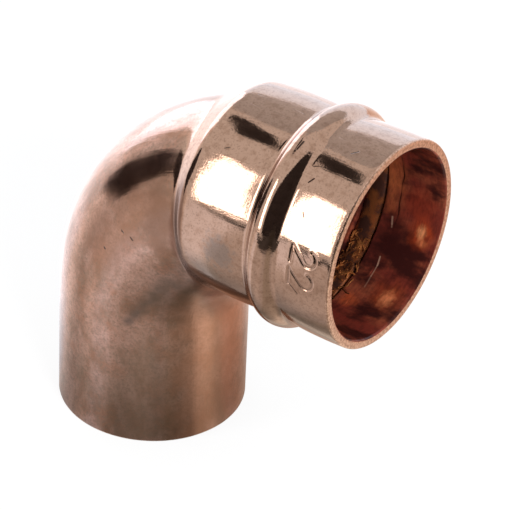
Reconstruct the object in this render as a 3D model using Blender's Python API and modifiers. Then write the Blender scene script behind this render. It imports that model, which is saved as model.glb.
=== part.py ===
"""Street elbow for 22 mm copper pipe: a plain spigot, a tight bend and a socket with its ring of solder.

The spigot points down and ends at the origin. The socket points along +X. Lengths are in metres, +Z is up.
The elbow is one piece of copper tube, bent, opened out at one end and rolled into a bead. A split ring of
solder wire lies in the groove inside that bead.
"""

import math

import bmesh
import bpy

# The tube
PIPE_DIAMETER = 0.022  # outside of the spigot, and of the pipe that the socket takes
WALL = 0.00105
SPIGOT_LENGTH = 0.0155  # straight part, from the cut end to the start of the bend
BEND_RADIUS = 0.0182  # of the tube's centre line
END_BEVEL = 0.0002  # broken edges of both cut ends

# The socket
PIPE_CLEARANCE = 0.0001  # all round the pipe
SOCKET_LENGTH = 0.019  # cylinder, from the shoulder to the mouth
SOCKET_OVERLAP = 0.0057  # how far back the cylinder starts before the bend is complete
SHOULDER_ANGLE = math.radians(38)  # slope of the flare, from the socket's axis
SHOULDER_ROUNDING = 0.002
SHOULDER_DEPTH = 0.0033  # radial height of the flare, its foot lies inside the bend

# The bead and the groove inside it
BEAD_FROM_MOUTH = 0.0091
BEAD_HEIGHT = 0.00105
BEAD_ROUNDING = 0.0019
BEAD_FILLET = 0.0011
BEAD_WALL = 0.00085  # thinner than the tube, because rolling stretches it
GROOVE_ROUNDING = 0.0015

# The ring of solder wire, rolled flat
RING_CLEARANCE = 0.0003  # between the wire and the floor of its groove
RING_SETBACK = 0.00005  # of the wire's inner face behind the bore, so that a pipe passes it
RING_WIDTH = 0.0021
RING_SPLIT = 0.0012  # gap between the two ends of the wire, at the top

# Fineness of the facets
SIDES = 48  # round the tube and round the socket
BEND_STEPS = 20
CURVE_STEP = math.radians(14)  # of the rounded parts of a turned profile
WIRE_SIDES = 10
WIRE_STEPS = 56
CUT_OVERRUN = 0.001  # how far a cutter runs past the face that it cuts

# What follows from them
PIPE_RADIUS = PIPE_DIAMETER / 2
BORE_RADIUS = PIPE_RADIUS + PIPE_CLEARANCE
SOCKET_RADIUS = BORE_RADIUS + WALL
AXIS_HEIGHT = SPIGOT_LENGTH + BEND_RADIUS
SHOULDER_X = BEND_RADIUS - SOCKET_OVERLAP
MOUTH_X = SHOULDER_X + SOCKET_LENGTH
BEAD_X = MOUTH_X - BEAD_FROM_MOUTH
GROOVE_RADIUS = SOCKET_RADIUS + BEAD_HEIGHT - BEAD_WALL


def clear_scene():
    for old in list(bpy.data.objects):
        bpy.data.objects.remove(old, do_unlink=True)


def new_collection(name, rendered=True):
    collection = bpy.data.collections.new(name)
    collection.hide_render = not rendered
    bpy.context.scene.collection.children.link(collection)
    return collection


def metal(name, colour, roughness):
    """A bare metal with the given linear colour."""
    material = bpy.data.materials.new(name)
    material.use_nodes = True
    shader = material.node_tree.nodes["Principled BSDF"]
    shader.inputs["Base Color"].default_value = (*colour, 1)
    shader.inputs["Metallic"].default_value = 1
    shader.inputs["Roughness"].default_value = roughness
    return material


def make_helper(obj):
    obj.hide_render = True
    obj.display_type = "WIRE"


def arc(x, radius, rounding, start, end):
    """Points (x, radius) on an arc about the given centre. Angle 0 is straight out, positive is to the mouth."""
    steps = max(2, math.ceil(abs(end - start) / CURVE_STEP))
    angles = [start + (end - start) * step / steps for step in range(steps + 1)]
    return [(x + rounding * math.sin(angle), radius + rounding * math.cos(angle)) for angle in angles]


def shoulder(surface_radius, rounding, depth):
    """The flare, from its foot inside the bend to the start of a cylinder of surface_radius."""
    crown = arc(SHOULDER_X, surface_radius - rounding, rounding, -SHOULDER_ANGLE, 0)
    crown_x, crown_radius = crown[0]
    foot_radius = surface_radius - depth
    foot_x = crown_x - (crown_radius - foot_radius) / math.tan(SHOULDER_ANGLE)
    return [(foot_x, foot_radius), *crown]


def bead():
    """The raised bead, from one foot over its crest to the other, tangent to the cylinder on both sides."""
    lean = math.acos(1 - BEAD_HEIGHT / (BEAD_ROUNDING + BEAD_FILLET))
    foot = (BEAD_ROUNDING + BEAD_FILLET) * math.sin(lean)
    fillet_radius = SOCKET_RADIUS + BEAD_FILLET
    crest_radius = SOCKET_RADIUS + BEAD_HEIGHT - BEAD_ROUNDING
    rise = arc(BEAD_X - foot, fillet_radius, -BEAD_FILLET, 0, -lean)
    crest = arc(BEAD_X, crest_radius, BEAD_ROUNDING, -lean, lean)
    fall = arc(BEAD_X + foot, fillet_radius, -BEAD_FILLET, lean, 0)
    return rise + crest[1:] + fall[1:]


def groove():
    """The groove that holds the wire, from one edge over its floor to the other."""
    centre = GROOVE_RADIUS - GROOVE_ROUNDING
    reach = math.acos((BORE_RADIUS - centre) / GROOVE_ROUNDING)
    return arc(BEAD_X, centre, GROOVE_ROUNDING, -reach, reach)


def socket_outside():
    outline = shoulder(SOCKET_RADIUS, SHOULDER_ROUNDING, SHOULDER_DEPTH) + bead()
    outline += [(MOUTH_X - END_BEVEL, SOCKET_RADIUS), (MOUTH_X, SOCKET_RADIUS - END_BEVEL)]
    return outline


def socket_inside():
    """The bore, parallel to the outside at the shoulder, with the groove, opening past the mouth."""
    depth = SHOULDER_DEPTH + WALL / math.cos(SHOULDER_ANGLE) - WALL
    outline = shoulder(BORE_RADIUS, SHOULDER_ROUNDING - WALL, depth) + groove()
    widened = BORE_RADIUS + END_BEVEL + CUT_OVERRUN
    outline += [(MOUTH_X - END_BEVEL, BORE_RADIUS), (MOUTH_X + CUT_OVERRUN, widened)]
    return outline


def turned(name, outline, collection):
    """A solid turned about the socket's axis from an outline that runs from the shoulder to the mouth."""
    closed = [(outline[0][0], 0), *outline, (outline[-1][0], 0)]
    mesh = bpy.data.meshes.new(name)
    points = [(radius, 0, x) for x, radius in reversed(closed)]
    mesh.from_pydata(points, [(i, i + 1) for i in range(len(points) - 1)], [])
    obj = bpy.data.objects.new(name, mesh)
    obj.location = (0, 0, AXIS_HEIGHT)
    obj.rotation_euler = (0, math.pi / 2, 0)
    collection.objects.link(obj)
    screw = obj.modifiers.new("turn", "SCREW")
    screw.steps = screw.render_steps = SIDES
    screw.use_merge_vertices = True
    screw.merge_threshold = 0.00001
    return obj


def tube_curve(name, route, sides, collection):
    """A filled tube along route, a list of (x, y, z, radius)."""
    curve = bpy.data.curves.new(name, "CURVE")
    curve.dimensions = "3D"
    curve.bevel_depth = 1
    curve.bevel_resolution = (sides - 4) // 2
    curve.use_fill_caps = True
    spline = curve.splines.new("POLY")
    spline.points.add(len(route) - 1)
    for point, (x, y, z, radius) in zip(spline.points, route):
        point.co = (x, y, z, 1)
        point.radius = radius
    obj = bpy.data.objects.new(name, curve)
    collection.objects.link(obj)
    return obj


def meshed(curve_object, collection):
    """The curve object as a closed mesh object of the same name. The curve is removed."""
    graph = bpy.context.evaluated_depsgraph_get()
    mesh = bpy.data.meshes.new_from_object(curve_object.evaluated_get(graph))
    welded = bmesh.new()
    welded.from_mesh(mesh)
    bmesh.ops.remove_doubles(welded, verts=welded.verts, dist=0.000001)
    bmesh.ops.recalc_face_normals(welded, faces=welded.faces)
    welded.to_mesh(mesh)
    welded.free()
    name = curve_object.name
    place = curve_object.matrix_world.copy()
    bpy.data.objects.remove(curve_object, do_unlink=True)
    obj = bpy.data.objects.new(name, mesh)
    obj.matrix_world = place
    collection.objects.link(obj)
    return obj


def bend_route(radius):
    """The centre line from the start of the bend until it lies level inside the socket."""
    route = []
    for step in range(BEND_STEPS + 1):
        turn = math.pi / 2 * step / BEND_STEPS
        x = BEND_RADIUS * (1 - math.cos(turn))
        z = SPIGOT_LENGTH + BEND_RADIUS * math.sin(turn)
        route.append((x, 0, z, radius))
    return route


def tube_outside(collection):
    """The spigot and the bend, solid, with the lower edge broken."""
    route = [(0, 0, 0, PIPE_RADIUS - END_BEVEL), (0, 0, END_BEVEL, PIPE_RADIUS)]
    route += bend_route(PIPE_RADIUS)
    return meshed(tube_curve("elbow_body", route, SIDES, collection), collection)


def tube_inside(collection):
    """The passage through the spigot and the bend, widened at the cut end."""
    radius = PIPE_RADIUS - WALL
    widened = radius + END_BEVEL + CUT_OVERRUN
    route = [(0, 0, -CUT_OVERRUN, widened), (0, 0, END_BEVEL, radius)]
    route += bend_route(radius)
    return meshed(tube_curve("passage", route, SIDES, collection), collection)


def combine(obj, name, operation, other):
    modifier = obj.modifiers.new(name, "BOOLEAN")
    modifier.operation = operation
    modifier.object = other


def smooth(obj):
    obj.data.shade_smooth()
    obj.data.set_sharp_from_angle(angle=math.radians(30))


def make_elbow_body(parts, cutters):
    body = tube_outside(parts)
    socket = turned("socket_blank", socket_outside(), cutters)
    passage = tube_inside(cutters)
    bore = turned("socket_bore", socket_inside(), cutters)
    for helper in (socket, passage, bore):
        make_helper(helper)
    combine(body, "socket", "UNION", socket)
    combine(body, "hollow tube", "DIFFERENCE", passage)
    combine(body, "hollow socket", "DIFFERENCE", bore)
    body.data.materials.append(metal("copper", (0.52, 0.27, 0.19), 0.28))
    smooth(body)
    return body


def wire_section(thickness, collection):
    """The flat oval section of the wire, as the guide that its curve is swept with."""
    curve = bpy.data.curves.new("wire_section", "CURVE")
    curve.dimensions = "2D"
    spline = curve.splines.new("POLY")
    spline.points.add(WIRE_SIDES - 1)
    spline.use_cyclic_u = True
    for side, point in enumerate(spline.points):
        angle = 2 * math.pi * side / WIRE_SIDES
        point.co = (thickness / 2 * math.cos(angle), RING_WIDTH / 2 * math.sin(angle), 0, 1)
    obj = bpy.data.objects.new("wire_section", curve)
    collection.objects.link(obj)
    make_helper(obj)
    return obj


def make_solder_ring(parts, cutters):
    """The split ring, wound flat with its split at -X and then stood up round the socket's axis."""
    outer = GROOVE_RADIUS - RING_CLEARANCE
    inner = BORE_RADIUS + RING_SETBACK
    radius = (outer + inner) / 2
    half_split = RING_SPLIT / 2 / radius
    curve = bpy.data.curves.new("solder_ring", "CURVE")
    curve.dimensions = "3D"
    curve.twist_mode = "Z_UP"
    curve.bevel_mode = "OBJECT"
    curve.bevel_object = wire_section(outer - inner, cutters)
    curve.use_fill_caps = True
    spline = curve.splines.new("POLY")
    spline.points.add(WIRE_STEPS)
    for step, point in enumerate(spline.points):
        angle = math.pi + half_split + (2 * math.pi - 2 * half_split) * step / WIRE_STEPS
        point.co = (radius * math.cos(angle), radius * math.sin(angle), 0, 1)
    obj = bpy.data.objects.new("solder_ring", curve)
    obj.location = (BEAD_X, 0, AXIS_HEIGHT)
    obj.rotation_euler = (0, math.pi / 2, 0)
    parts.objects.link(obj)
    bpy.context.view_layer.update()
    ring = meshed(obj, parts)
    ring.data.materials.append(metal("solder", (0.50, 0.48, 0.45), 0.4))
    smooth(ring)
    return ring


def main():
    clear_scene()
    parts = new_collection("solder_ring_elbow")
    cutters = new_collection("cutters", rendered=False)
    make_elbow_body(parts, cutters)
    make_solder_ring(parts, cutters)


main()
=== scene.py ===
"""The looks of a copper street elbow with a ring of solder in its socket.

The elbow stands on its cut lower end at the origin. The spigot runs up +Z, turns in a tight bend and ends in
a beaded socket that opens along +X. Shapes are worked out in millimetres and made metres as a mesh is built.
A place on the tube is given by its station, the distance along the centre line from the foot, and its turn,
the angle round the tube from -Y towards the back of the bend.
"""

import logging
import math
from dataclasses import dataclass
from enum import Enum, IntEnum

import bpy
import numpy as np
from mathutils import Matrix, Vector


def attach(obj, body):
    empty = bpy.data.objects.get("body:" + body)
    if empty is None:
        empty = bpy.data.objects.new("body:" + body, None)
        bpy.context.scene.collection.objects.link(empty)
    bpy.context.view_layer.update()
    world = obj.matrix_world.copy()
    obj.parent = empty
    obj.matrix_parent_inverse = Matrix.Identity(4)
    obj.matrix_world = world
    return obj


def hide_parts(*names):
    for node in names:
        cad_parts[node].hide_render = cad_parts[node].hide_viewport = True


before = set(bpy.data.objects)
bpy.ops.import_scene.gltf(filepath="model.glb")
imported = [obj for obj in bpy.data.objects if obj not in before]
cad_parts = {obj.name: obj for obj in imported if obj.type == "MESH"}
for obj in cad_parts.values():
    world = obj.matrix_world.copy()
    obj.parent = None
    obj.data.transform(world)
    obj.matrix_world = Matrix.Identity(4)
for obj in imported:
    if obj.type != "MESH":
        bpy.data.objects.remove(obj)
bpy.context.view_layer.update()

MM = 0.001
FLAG_CORNERS = 48
LOG = logging.getLogger("elbow")


class Zone(IntEnum):
    """The surfaces of the elbow that have a finish of their own."""

    OUTSIDE = 0
    CUT_END = 1
    BORE = 2


def linear(colour: str) -> tuple[float, float, float, float]:
    """Turns an sRGB hex colour into the linear values that a shader takes.

    Args:
        colour: A colour such as "#B08972".

    Returns:
        Red, green, blue and an alpha of 1.
    """
    values = [int(colour[i : i + 2], 16) / 255 for i in (1, 3, 5)]
    red, green, blue = (v / 12.92 if v <= 0.04045 else ((v + 0.055) / 1.055) ** 2.4 for v in values)
    return (red, green, blue, 1.0)


def add_node(
    tree: bpy.types.NodeTree, kind: str, inputs: dict | None = None, **settings: object
) -> bpy.types.Node:
    """Adds a node to a tree.

    Args:
        tree: The shader or geometry tree.
        kind: The node's type.
        inputs: Values or output sockets for its inputs, by name or by index.
        settings: Properties of the node.

    Returns:
        The new node.
    """
    node = tree.nodes.new(kind)
    for name, value in settings.items():
        setattr(node, name, value)
    for key, value in (inputs or {}).items():
        if isinstance(value, bpy.types.NodeSocket):
            tree.links.new(value, node.inputs[key])
        else:
            node.inputs[key].default_value = value
    return node


def new_material(name: str) -> tuple[bpy.types.Material, bpy.types.NodeTree, bpy.types.Node]:
    """Makes a material with a bare Principled shader.

    Args:
        name: The material's name.

    Returns:
        The material, its tree and the shader node.
    """
    material = bpy.data.materials.new(name)
    material.use_nodes = True
    tree = material.node_tree
    return material, tree, tree.nodes["Principled BSDF"]


def link_object(name: str, data: bpy.types.ID | None) -> bpy.types.Object:
    """Makes an object for some data and puts it in the scene.

    Args:
        name: The object's name.
        data: Its mesh, light, camera or curve.

    Returns:
        The new object.
    """
    obj = bpy.data.objects.new(name, data)
    bpy.context.scene.collection.objects.link(obj)
    return obj


def new_geometry_tree(name: str, sizes: dict[str, float]) -> bpy.types.NodeTree:
    """Makes a Geometry Nodes tree with a named input for each size.

    Args:
        name: The tree's name.
        sizes: The inputs and their values.

    Returns:
        The tree, with its group input and output nodes in place.
    """
    tree = bpy.data.node_groups.new(name, "GeometryNodeTree")
    tree.interface.new_socket(name="Geometry", in_out="INPUT", socket_type="NodeSocketGeometry")
    for label, value in sizes.items():
        kind = "NodeSocketInt" if isinstance(value, int) else "NodeSocketFloat"
        tree.interface.new_socket(name=label, in_out="INPUT", socket_type=kind).default_value = value
    tree.interface.new_socket(name="Geometry", in_out="OUTPUT", socket_type="NodeSocketGeometry")
    tree.nodes.new("NodeGroupInput")
    tree.nodes.new("NodeGroupOutput")
    return tree


def run_tree(obj: bpy.types.Object, tree: bpy.types.NodeTree, sizes: dict[str, float]) -> None:
    """Runs a Geometry Nodes tree on an object and keeps its result as a plain mesh.

    Args:
        obj: The object that the tree works on.
        tree: A tree from new_geometry_tree.
        sizes: The values of its named inputs.
    """
    modifier = obj.modifiers.new(tree.name, "NODES")
    modifier.node_group = tree
    for item in tree.interface.items_tree:
        if item.item_type == "SOCKET" and item.in_out == "INPUT" and item.name in sizes:
            modifier[item.identifier] = sizes[item.name]
    evaluated = obj.evaluated_get(bpy.context.evaluated_depsgraph_get())
    mesh = bpy.data.meshes.new_from_object(evaluated)
    obj.modifiers.remove(modifier)
    obj.data = mesh


def spaced(stops: list[tuple[float, float]], end: float) -> np.ndarray:
    """Places values from the first stop to the end, closer together where detail needs it.

    Args:
        stops: Where each stretch starts and how far apart its values are.
        end: The last value.

    Returns:
        The values in rising order.
    """
    values = []
    starts = [start for start, _ in stops] + [end]
    for (start, step), following in zip(stops, starts[1:]):
        count = max(1, math.ceil((following - start) / step - 1e-6))
        values.extend(start + (following - start) * i / count for i in range(count))
    return np.array(values + [end])


@dataclass(frozen=True)
class ElbowSizes:
    """The driving sizes of the elbow in millimetres.

    They are the solid's, but for the ring, which fills its groove here as solder does and keeps clear there.
    """

    pipe_diameter: float = 22.0
    wall: float = 1.05
    spigot_length: float = 15.5
    bend_radius: float = 18.2
    end_bevel: float = 0.2
    pipe_clearance: float = 0.1
    socket_length: float = 19.0
    socket_overlap: float = 5.7
    shoulder_angle: float = math.radians(38)
    shoulder_rounding: float = 2.0
    bead_from_mouth: float = 9.1
    bead_height: float = 1.05
    bead_rounding: float = 1.9
    bead_fillet: float = 1.1
    bead_wall: float = 0.85
    groove_rounding: float = 1.5
    ring_clearance: float = 0.1
    ring_width: float = 2.6
    ring_split: float = 1.2

    @property
    def pipe_radius(self) -> float:
        """Outside radius of the tube."""
        return self.pipe_diameter / 2

    @property
    def bore_radius(self) -> float:
        """Inside radius of the socket."""
        return self.pipe_radius + self.pipe_clearance

    @property
    def socket_radius(self) -> float:
        """Outside radius of the socket."""
        return self.bore_radius + self.wall

    @property
    def passage_radius(self) -> float:
        """Inside radius of the tube."""
        return self.pipe_radius - self.wall

    @property
    def axis_height(self) -> float:
        """Height of the socket's axis."""
        return self.spigot_length + self.bend_radius

    @property
    def shoulder_x(self) -> float:
        """Where the socket's cylinder starts."""
        return self.bend_radius - self.socket_overlap

    @property
    def mouth_x(self) -> float:
        """Where the socket ends."""
        return self.shoulder_x + self.socket_length

    @property
    def bead_x(self) -> float:
        """The middle of the bead."""
        return self.mouth_x - self.bead_from_mouth

    @property
    def groove_radius(self) -> float:
        """Radius of the groove's floor."""
        return self.socket_radius + self.bead_height - self.bead_wall

    @property
    def bend_length(self) -> float:
        """Length of the centre line round the bend."""
        return self.bend_radius * math.pi / 2

    @property
    def bead_lean(self) -> float:
        """The steepest slope of the bead's flanks."""
        return math.acos(1 - self.bead_height / (self.bead_rounding + self.bead_fillet))

    @property
    def bead_half_width(self) -> float:
        """How far the bead's fillets reach from its middle."""
        return (self.bead_rounding + self.bead_fillet) * math.sin(self.bead_lean)

    def station(self, x: float) -> float:
        """Gives the station of a place x along the socket, past the bend."""
        return x - self.bend_radius + self.spigot_length + self.bend_length

    def socket_x(self, station: np.ndarray) -> np.ndarray:
        """Gives the x of a station past the bend."""
        return station + self.bend_radius - self.spigot_length - self.bend_length


@dataclass(frozen=True)
class Numeral:
    """A plain 2, 3.2 mm high, that says which pipe the socket takes."""

    height: float = 3.2
    width: float = 1.95
    stroke: float = 0.13
    depth: float = 0.065
    lip: float = 0.024

    def path(self) -> np.ndarray:
        """Draws the numeral's centre line.

        Returns:
            Points (along the line of reading, up) from the hook to the end of the foot.
        """
        bowl = self.width * 0.46
        centre = (self.width * 0.5, self.height - bowl)
        angles = np.radians(np.linspace(165, -42, 16))
        points = [(centre[0] + bowl * math.cos(a), centre[1] + bowl * math.sin(a)) for a in angles]
        return np.array(points + [(0.02, 0.0), (self.width, 0.0)])

    def relief(self, along: np.ndarray, up: np.ndarray) -> np.ndarray:
        """Gives the height of the stamped surface round the numeral.

        Args:
            along: Distances along the line of reading, from the numeral's left edge.
            up: Distances up from its foot.

        Returns:
            Heights, negative in the struck line and positive on the lip that it pushes up.
        """
        path = self.path()
        nearest = np.full(along.shape, 9.0)
        for (x0, y0), (x1, y1) in zip(path[:-1], path[1:]):
            length = (x1 - x0) ** 2 + (y1 - y0) ** 2
            share = np.clip(((along - x0) * (x1 - x0) + (up - y0) * (y1 - y0)) / length, 0, 1)
            distance = np.hypot(along - x0 - share * (x1 - x0), up - y0 - share * (y1 - y0))
            nearest = np.minimum(nearest, distance)
        struck = -self.depth * np.exp(-((nearest / self.stroke) ** 2))
        pushed = self.lip * np.exp(-(((nearest - 2.1 * self.stroke) / self.stroke) ** 2))
        return struck + pushed


@dataclass(frozen=True)
class Stamp:
    """The two numerals struck into the socket between bead and mouth, read down the side."""

    numeral: Numeral = Numeral()
    foot_x: float = 26.35
    first_turn: float = 20.3
    second_turn: float = 7.6

    def relief(self, sizes: ElbowSizes, x: np.ndarray, turn: np.ndarray) -> np.ndarray:
        """Gives the stamped relief at places on the socket.

        Args:
            sizes: The elbow's sizes.
            x: Places along the socket.
            turn: Angles round it in degrees.

        Returns:
            Heights above the plain cylinder.
        """
        arc = np.radians(1) * sizes.socket_radius
        total = np.zeros(np.broadcast(x, turn).shape)
        for start in (self.first_turn, self.second_turn):
            total = total + self.numeral.relief((start - turn) * arc, x - self.foot_x + 0 * turn)
        return total


@dataclass(frozen=True)
class Tear:
    """A fine torn line round the bore, where the sizing punch stopped or caught."""

    x: float
    from_turn: float
    to_turn: float
    width: float = 0.1
    depth: float = 0.05

    def strength(self, x: np.ndarray, turn: np.ndarray) -> np.ndarray:
        """Gives how strongly the bore is torn.

        Args:
            x: Places along the socket.
            turn: Angles round it in degrees.

        Returns:
            Values from 0 to 1.
        """
        wander = 0.1 * np.sin(np.radians(turn * 11)) + 0.05 * np.sin(np.radians(turn * 29 + 40))
        inside = np.clip((turn - self.from_turn) / 12, 0, 1) * np.clip((self.to_turn - turn) / 12, 0, 1)
        uneven = 0.75 + 0.25 * np.sin(np.radians(turn * 17))
        return inside * uneven * np.exp(-(((x - self.x - wander) / self.width) ** 2))


@dataclass
class ElbowBody:
    """The one piece of copper: spigot, bend, shoulder, bead and socket, with its wall open at both ends.

    Attributes:
        sizes: The driving sizes.
        stamp: The struck numerals.
        tears: The torn lines of the bore, the one with the finest rings first.
        barrel: Half the curvature of the two stretches beside the bead, along the socket.
        barrel_height: How far they stand out in their middle.
        barrel_shift: How far the shoulder's outside starts early.
        barrel_lead: How far before the shoulder the barrelling fades in, and how far it fades under the bead.
        barrel_skew: How far past its start each stretch is level with its end.
        outer_blend: The fillet between bend and shoulder.
        inner_blend: The same inside.
        ripple_height: The height of the faint waves that bending and rolling left.
        ripple_size: Their size.
        plain_turn_step: The angle between two sides.
        fine_turn_step: The same under the numerals.
        fine_step: The distance between two rings under the numerals.
        bead_reach: How far finer rings reach from the bead's middle.
        groove_reach: The same for the groove.
        tear_reach: The same for the first tear.
        stamp_reach: The same beyond the numerals.
        lead_in: The rounding of the bore's edge at the mouth.
        lead_in_shade: How much painted shade darkens that edge.
    """

    sizes: ElbowSizes
    stamp: Stamp
    tears: tuple[Tear, ...]
    barrel: float = 0.0102
    barrel_height: float = 0.06
    barrel_shift: float = 0.2
    barrel_lead: tuple[float, float] = (1.3, 0.9)
    barrel_skew: tuple[float, float] = (1.0, 1.7)
    outer_blend: float = 0.3
    inner_blend: float = 0.4
    ripple_height: float = 0.035
    ripple_size: float = 3.2
    plain_turn_step: float = 1.8
    fine_turn_step: float = 0.38
    fine_step: float = 0.08
    bead_reach: float = 2.4
    groove_reach: float = 1.6
    tear_reach: float = 0.3
    stamp_reach: float = 0.35
    lead_in: float = 0.34
    lead_in_shade: float = 0.4

    def barrelling(self, x: np.ndarray) -> np.ndarray:
        """Gives how far the rollers left the two stretches beside the bead slightly barrelled.

        Args:
            x: Places along the socket's axis.

        Returns:
            Heights above the plain cylinder.
        """
        s = self.sizes
        fade_in, fade_out = self.barrel_lead
        start = s.shoulder_x - self.barrel_shift
        before = s.bead_x - s.bead_half_width
        after = s.bead_x + s.bead_half_width
        first = (start + self.barrel_skew[0] + before) / 2
        second = (after + self.barrel_skew[1] + s.mouth_x) / 2
        slopes = {
            start - fade_in: 0.0,
            start: first - start,
            before: first - before,
            before + fade_out: 0.0,
            after - fade_out: 0.0,
            after: second - after,
            s.mouth_x: second - s.mouth_x,
        }
        places = np.linspace(start - fade_in, s.mouth_x, 421)
        slope = 2 * self.barrel * np.interp(places, list(slopes), list(slopes.values()))
        steps = np.diff(places) * (slope[1:] + slope[:-1]) / 2
        height = np.concatenate([[0.0], np.cumsum(steps)])
        return np.interp(x, places, height) - np.interp(first, places, height) + self.barrel_height

    def outer_profile(self, x: np.ndarray) -> np.ndarray:
        """Gives the outside radius of the socket, with its shoulder and bead.

        Args:
            x: Places along the socket's axis.

        Returns:
            Radii from the axis.
        """
        s = self.sizes
        shifted = x + self.barrel_shift
        shoulder = self.cone(shifted, s.socket_radius, s.shoulder_rounding)
        radius = np.where(shifted < s.shoulder_x, shoulder, s.socket_radius)
        away = np.abs(x - s.bead_x)
        crest = s.socket_radius + s.bead_height - s.bead_rounding
        on_crest = crest + np.sqrt(np.clip(s.bead_rounding**2 - away**2, 0, None))
        fillet = s.socket_radius + s.bead_fillet
        foot = s.bead_half_width
        on_fillet = fillet - np.sqrt(np.clip(s.bead_fillet**2 - (away - foot) ** 2, 0, None))
        top = s.bead_rounding * math.sin(s.bead_lean)
        radius = np.where(away < top, on_crest, np.where(away < foot, on_fillet, radius))
        return radius + self.barrelling(x)

    def inner_profile(self, x: np.ndarray) -> np.ndarray:
        """Gives the inside radius of the socket, with its shoulder and groove.

        Args:
            x: Places along the socket's axis.

        Returns:
            Radii from the axis.
        """
        s = self.sizes
        shoulder = self.cone(x, s.bore_radius, s.shoulder_rounding - s.wall)
        radius = np.where(x < s.shoulder_x, shoulder, s.bore_radius)
        centre = s.groove_radius - s.groove_rounding
        floor = centre + np.sqrt(np.clip(s.groove_rounding**2 - (x - s.bead_x) ** 2, 0, None))
        return np.where(np.abs(x - s.bead_x) < s.groove_rounding, np.maximum(radius, floor), radius)

    def cone(self, x: np.ndarray, radius: float, rounding: float) -> np.ndarray:
        """Gives the radius of a shoulder that slopes down from a cylinder.

        Args:
            x: Places before the cylinder's start.
            radius: The cylinder's radius.
            rounding: The rounding between slope and cylinder.

        Returns:
            Radii from the axis.
        """
        s = self.sizes
        crown_x = s.shoulder_x - rounding * math.sin(s.shoulder_angle)
        crown = radius - rounding + rounding * math.cos(s.shoulder_angle)
        rounded = radius - rounding + np.sqrt(np.clip(rounding**2 - (x - s.shoulder_x) ** 2, 0, None))
        sloped = crown - (crown_x - x) * math.tan(s.shoulder_angle)
        return np.where(x > crown_x, rounded, sloped)

    def reach(self, station: np.ndarray, turn: np.ndarray, inside: bool) -> np.ndarray:
        """Gives how far the surface lies from the centre line.

        In the bend the tube and the socket's shoulder run into each other. The outermost crossing of their
        blended union is looked for along each ray from the centre line.

        Args:
            station: Stations, one for each ring.
            turn: Angles round the tube in degrees, one for each side.
            inside: Whether the inner surface is meant.

        Returns:
            One distance for each ring and side.
        """
        s = self.sizes
        tube = s.passage_radius if inside else s.pipe_radius
        profile = self.inner_profile if inside else self.outer_profile
        blend = self.inner_blend if inside else self.outer_blend
        bent = np.clip((station - s.spigot_length) / s.bend_radius, 0, math.pi / 2)[:, None, None]
        angle = np.radians(turn)[None, :, None]
        ray = np.linspace(tube - 0.5, tube + 4.0, 226)[None, None, :]
        x = s.bend_radius * (1 - np.cos(bent)) - ray * np.sin(angle) * np.cos(bent)
        height = s.spigot_length + s.bend_radius * np.sin(bent) + ray * np.sin(angle) * np.sin(bent)
        off_axis = np.hypot(ray * np.cos(angle), height - s.axis_height)
        to_socket = (off_axis - profile(x)) * math.cos(s.shoulder_angle)
        to_tube = ray - tube + 0 * angle
        share = np.clip(0.5 + 0.5 * (to_socket - to_tube) / blend, 0, 1)
        gap = share * to_tube + (1 - share) * to_socket - blend * share * (1 - share)
        last = gap.shape[2] - 1 - np.argmax(gap[:, :, ::-1] < 0, axis=2)
        last = np.clip(last, 0, gap.shape[2] - 2)[:, :, None]
        below = np.take_along_axis(gap, last, 2)[:, :, 0]
        above = np.take_along_axis(gap, last + 1, 2)[:, :, 0]
        step = ray[0, 0, 1] - ray[0, 0, 0]
        found = ray[0, 0][last[:, :, 0]] + step * below / (below - above)
        socket = np.repeat(profile(s.socket_x(station))[:, None], len(turn), axis=1)
        bend_end = s.spigot_length + s.bend_length
        found = np.where(station[:, None] < s.spigot_length, tube, found)
        return np.where(station[:, None] > bend_end, socket, found)

    def turns(self) -> np.ndarray:
        """Gives the angles of the sides, closer together under the stamped numerals.

        Returns:
            The angles in degrees, once round the tube from the foot of the lower numeral.
        """
        stamp = self.stamp
        low = stamp.second_turn - 11
        high = stamp.first_turn + 2
        stops = [(low, self.fine_turn_step), (high, self.plain_turn_step)]
        return spaced(stops, low + 360)[:-1]

    def socket_place(self, x: float, turn: float) -> tuple[float, float, float]:
        """Gives a point of the socket's outside.

        Args:
            x: Its place along the socket.
            turn: Its turn in degrees.

        Returns:
            The point in millimetres.
        """
        radius = float(self.outer_profile(np.array(x)))
        angle = math.radians(turn)
        return (x, -radius * math.cos(angle), self.sizes.axis_height + radius * math.sin(angle))

    def outside_rings(self, turn: np.ndarray) -> tuple[np.ndarray, np.ndarray, np.ndarray]:
        """Gives the outer surface from the bevel of the foot to the bevel of the mouth.

        Args:
            turn: The angles of the sides.

        Returns:
            The stations and, for each, the distances from the centre line and how far the stamp is sunk.
        """
        s = self.sizes
        shoulder_start = s.spigot_length + s.bend_radius * math.radians(38)
        bead_start = s.station(s.bead_x - self.bead_reach)
        bead_end = s.station(s.bead_x + self.bead_reach)
        stamp_start = s.station(self.stamp.foot_x - self.stamp_reach)
        stamp_end = s.station(self.stamp.foot_x + self.stamp.numeral.height + self.stamp_reach)
        # Where each stretch starts and how far apart its rings are.
        stops = [
            (s.end_bevel, 0.8),
            (s.spigot_length, 0.45),
            (shoulder_start, 0.165),
            (s.spigot_length + s.bend_length, 0.3),
            (bead_start, 0.11),
            (bead_end, 0.25),
            (stamp_start, self.fine_step),
            (stamp_end, 0.3),
        ]
        station = spaced(stops, s.station(s.mouth_x) - s.end_bevel)
        reach = self.reach(station, turn, inside=False)
        x = s.socket_x(station)[:, None]
        on_socket = (x > s.bead_x + self.bead_reach) & (x < s.mouth_x - 0.5)
        relief = np.where(on_socket, self.stamp.relief(s, x, turn[None, :]), 0)
        return station, reach + relief, np.clip(-relief / self.stamp.numeral.depth, 0, 1)

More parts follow.
